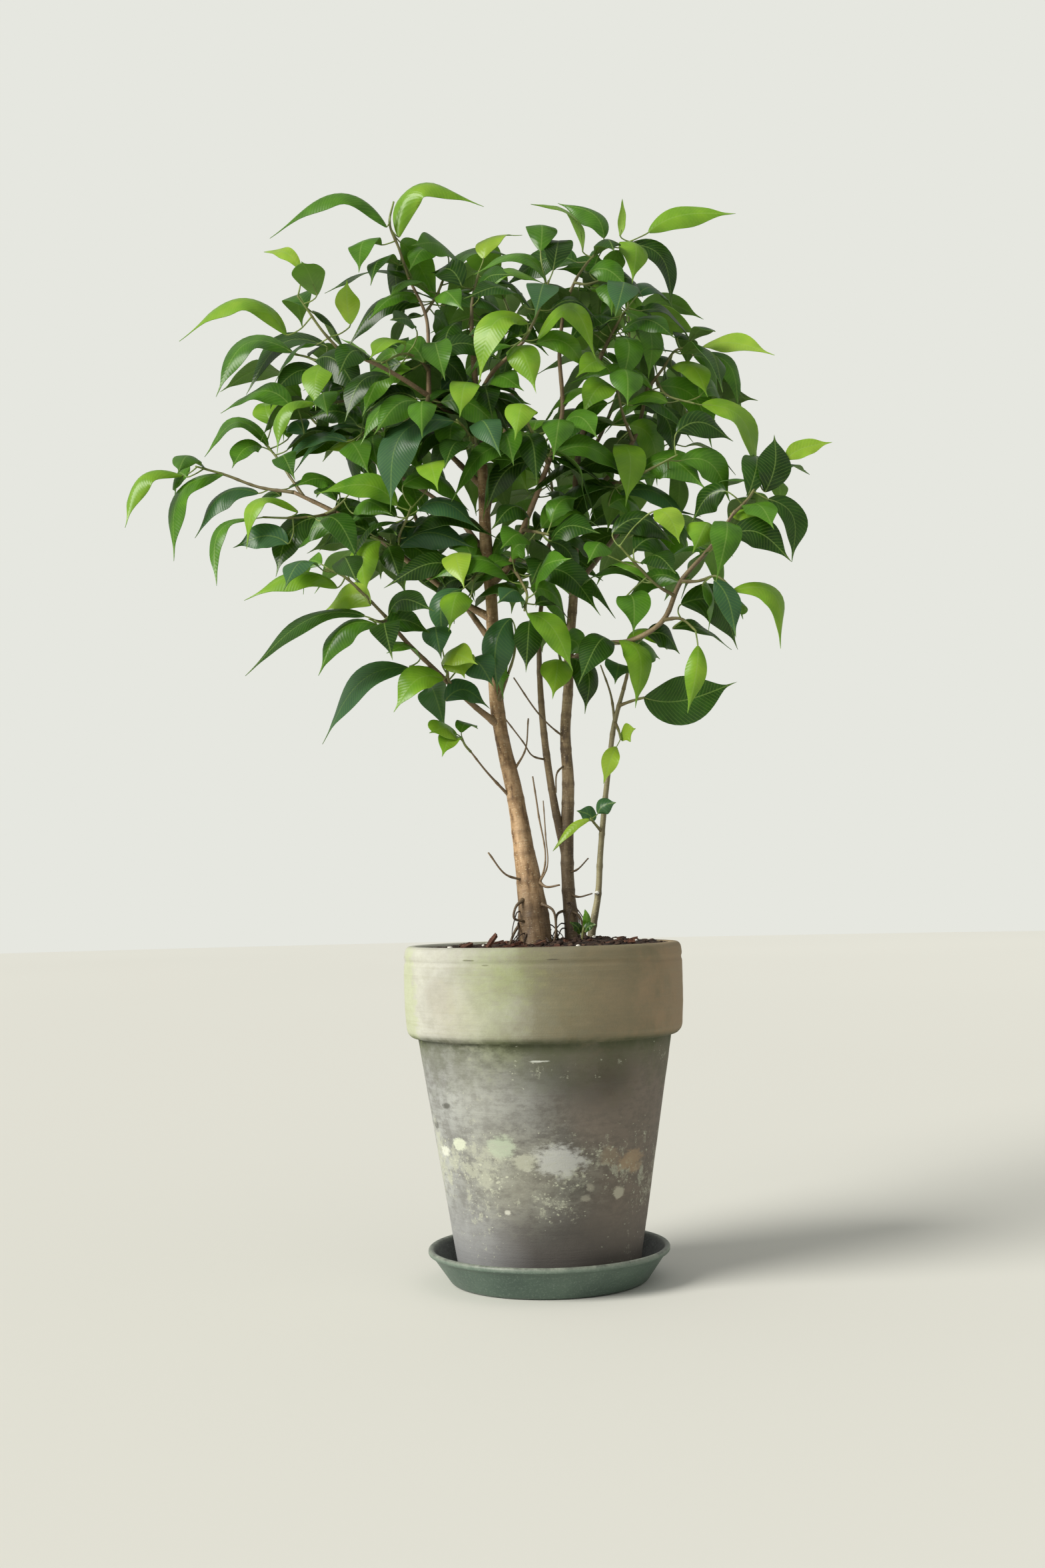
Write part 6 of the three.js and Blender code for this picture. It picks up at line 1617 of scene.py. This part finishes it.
def corners_of(node):
    """A search tree of the solid's corners, in mm."""
    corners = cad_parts[node].data.vertices
    tree = kdtree.KDTree(len(corners))
    for number, corner in enumerate(corners):
        tree.insert(corner.co / MM, number)
    tree.balance()
    return tree


seed = 0
met = 0
plan = []
for spray in [*SPRAYS, *HIDDEN_SPRAYS, SEEDLING]:
    corners = corners_of(spray["name"])
    curves = [rooted(placed(route)) for route in spray["routes"]]
    roots = roots_of(spray) if "leaves" in spray else [None] * spray["count"]
    leaves = []
    for index, seen_root in enumerate(roots):
        seed += 1
        if seen_root:
            which, share, root = seen_root
            leaf, found = nearest_solid_leaf(lambda bend: seen_leaf(spray, root, index, seed, bend), corners)
            letter = spray["tones"][index]
        else:
            which, share = 0, ruled_leaf(spray, index, seed, (0, 0))[0]
            leaf, found = nearest_solid_leaf(lambda bend: ruled_leaf(spray, index, seed, bend)[1], corners)
            letter = HIDDEN_TONES[int(len(HIDDEN_TONES) * chance(seed, 15))]
        met += found
        tone = TONES[letter] + 0.12 * (chance(seed, 16) - 0.5)
        leaves.append((leaf, curves[which], share, tone, PAINTED_SHEEN if letter == "s" else 0.0))
    plan.append((spray, curves, leaves))
print("leaves:", seed, "of which the solids have", met)

# %% [markdown]
# ### Small leaves within the crown
# The middle of the crown is too thick for the photograph to show each leaf, so a rule adds small
# darker ones there. Twenty are tried for each and the one that keeps furthest from the others stays.

# %% Rules for small leaves within the crown
CROWN_HEART = place(12, 560)
CROWN_REACH = np.array([150.0, 115.0, 118.0])
TRIED = 20
# How many leaves a twig gets when its middle is nearer the crown's heart than this share of its reach.
COUNTS = ((0.75, 9), (1.1, 7), (math.inf, 3))
OUTERMOST = 1.25
LEAST_GAP = 2.5
# The photograph shows the leaves at the front one by one, so none is added in front of this, mm. On a
# twig that is in front of it itself, none is added less than so many mm behind the twig's middle.
FRONT_KEPT_FREE = -34
BEHIND_TWIG = 6


def off_heart(point):
    """How far a point, or each of several, is from the crown's heart, as a share of its reach."""
    return np.linalg.norm((point - CROWN_HEART) / CROWN_REACH, axis=-1)


def spread(leaf):
    """Points all over a blade, which tell how near another leaf comes."""
    line = midrib(leaf, np.linspace(0.05, 0.95, 5))
    aside = unit(np.cross(leaf["face"], leaf["chord"])) * 0.6 * leaf["half"]
    return np.concatenate([line, line + aside, line - aside]).astype(np.float32)


def small_leaf(curve, number):
    """A leaf half to nine tenths as long as a grown one, swung any way about its twig."""
    share = 0.12 + 0.84 * chance(number, 21)
    root = on_curve(curve, share)[:3]
    swing = FULL_TURN * chance(number, 22)
    out = unit(np.array([math.cos(swing), math.sin(swing), 0.25 - 1.3 * chance(number, 23)]))
    base = root + unit(out + UP * 0.3) * PETIOLE_LENGTH * 0.9
    tip = base + out * LEAF_LENGTH * (0.55 + 0.42 * chance(number, 24))
    return share, shape_leaf(base, tip, 0.75, FRONT, 80 * chance(number, 25), number)


print("most small leaves on a twig:", COUNTS[0][1])

# %% Add small leaves within the crown
taken = np.concatenate([spread(leaf) for _, _, leaves in plan for leaf, *_ in leaves])
added = 0
for order, (spray, curves, leaves) in enumerate(plan):
    if spray is SEEDLING:
        continue
    middle = on_curve(curves[0], 0.6)[:3]
    nearest = min(FRONT_KEPT_FREE, middle[1] + BEHIND_TWIG)
    for turn in range(next(count for reach, count in COUNTS if off_heart(middle) < reach)):
        best = None
        first = 4000 + 400 * order + 40 * turn
        for number in range(first, first + TRIED):
            curve = curves[number % len(curves)]
            share, leaf = small_leaf(curve, number)
            ends = np.array([leaf["base"], leaf["tip"]])
            if off_heart(ends).max() > OUTERMOST or ends[:, 1].min() < nearest:
                continue
            gaps = spread(leaf)[:, None, :] - taken[None, :, :]
            room_left = float(np.sqrt((gaps**2).sum(axis=2).min()))
            if best is None or room_left > best[0]:
                best = (room_left, leaf, curve, share)
        if best and best[0] > LEAST_GAP:
            _, leaf, curve, share = best
            leaves.append((leaf, curve, share, 0.02 + 0.62 * chance(leaf["seed"], 26) ** 1.4, 0.0))
            taken = np.concatenate([taken, spread(leaf)])
            added += 1
print("small leaves added:", added)

# %% [markdown]
# ### Twigs and blades
# The twig and stalks of a spray are one piece and its blades another, both in place of its solid.

# %% Grow every spray
TWIG_SIDES, STALK_SIDES = 10, 6
# The stalks of a young spray are no thinner than this share of a grown one's.
THINNEST = 0.7

for spray, curves, leaves in plan:
    name = spray["name"]
    twig, blades = ([], [], [], []), ([], [], [], [])
    for curve in curves:
        line, number = smooth(curve, 2.0), leaves[-1][0]["seed"] + 7
        gather(twig, skin(line, TWIG_SIDES, number, swell=0.18, spacing=13.0, flare=0.2, start=len(twig[0])))
    for leaf, curve, share, tone, gloss_and_painted_sheen in leaves:
        gather(blades, blade(leaf, tone, gloss_and_painted_sheen, len(blades[0])))
        line = smooth(stalk(leaf, curve, share, STALK_RADIUS * max(spray["size"], THINNEST)), 2.2)
        gather(twig, skin(line, STALK_SIDES, leaf["seed"] + 900, start=len(twig[0])))
    slot_name = "leaf" if spray["size"] == 1 else "young_leaf"
    make_piece(name + "_twig", barked(twig), fig_twig, name)
    points, faces, places, marks = blades
    make_piece(name + "_leaves", (points, faces, {"blade": places, "leaf": marks}), fig_leaf, name,
               sharp=50)
print("sprays:", len(plan))

# %% [markdown]
# ## Faces in all
# The last line prints how many faces the pieces have in all.

# %% Count the faces
print("faces in all:", sum(made.values()))
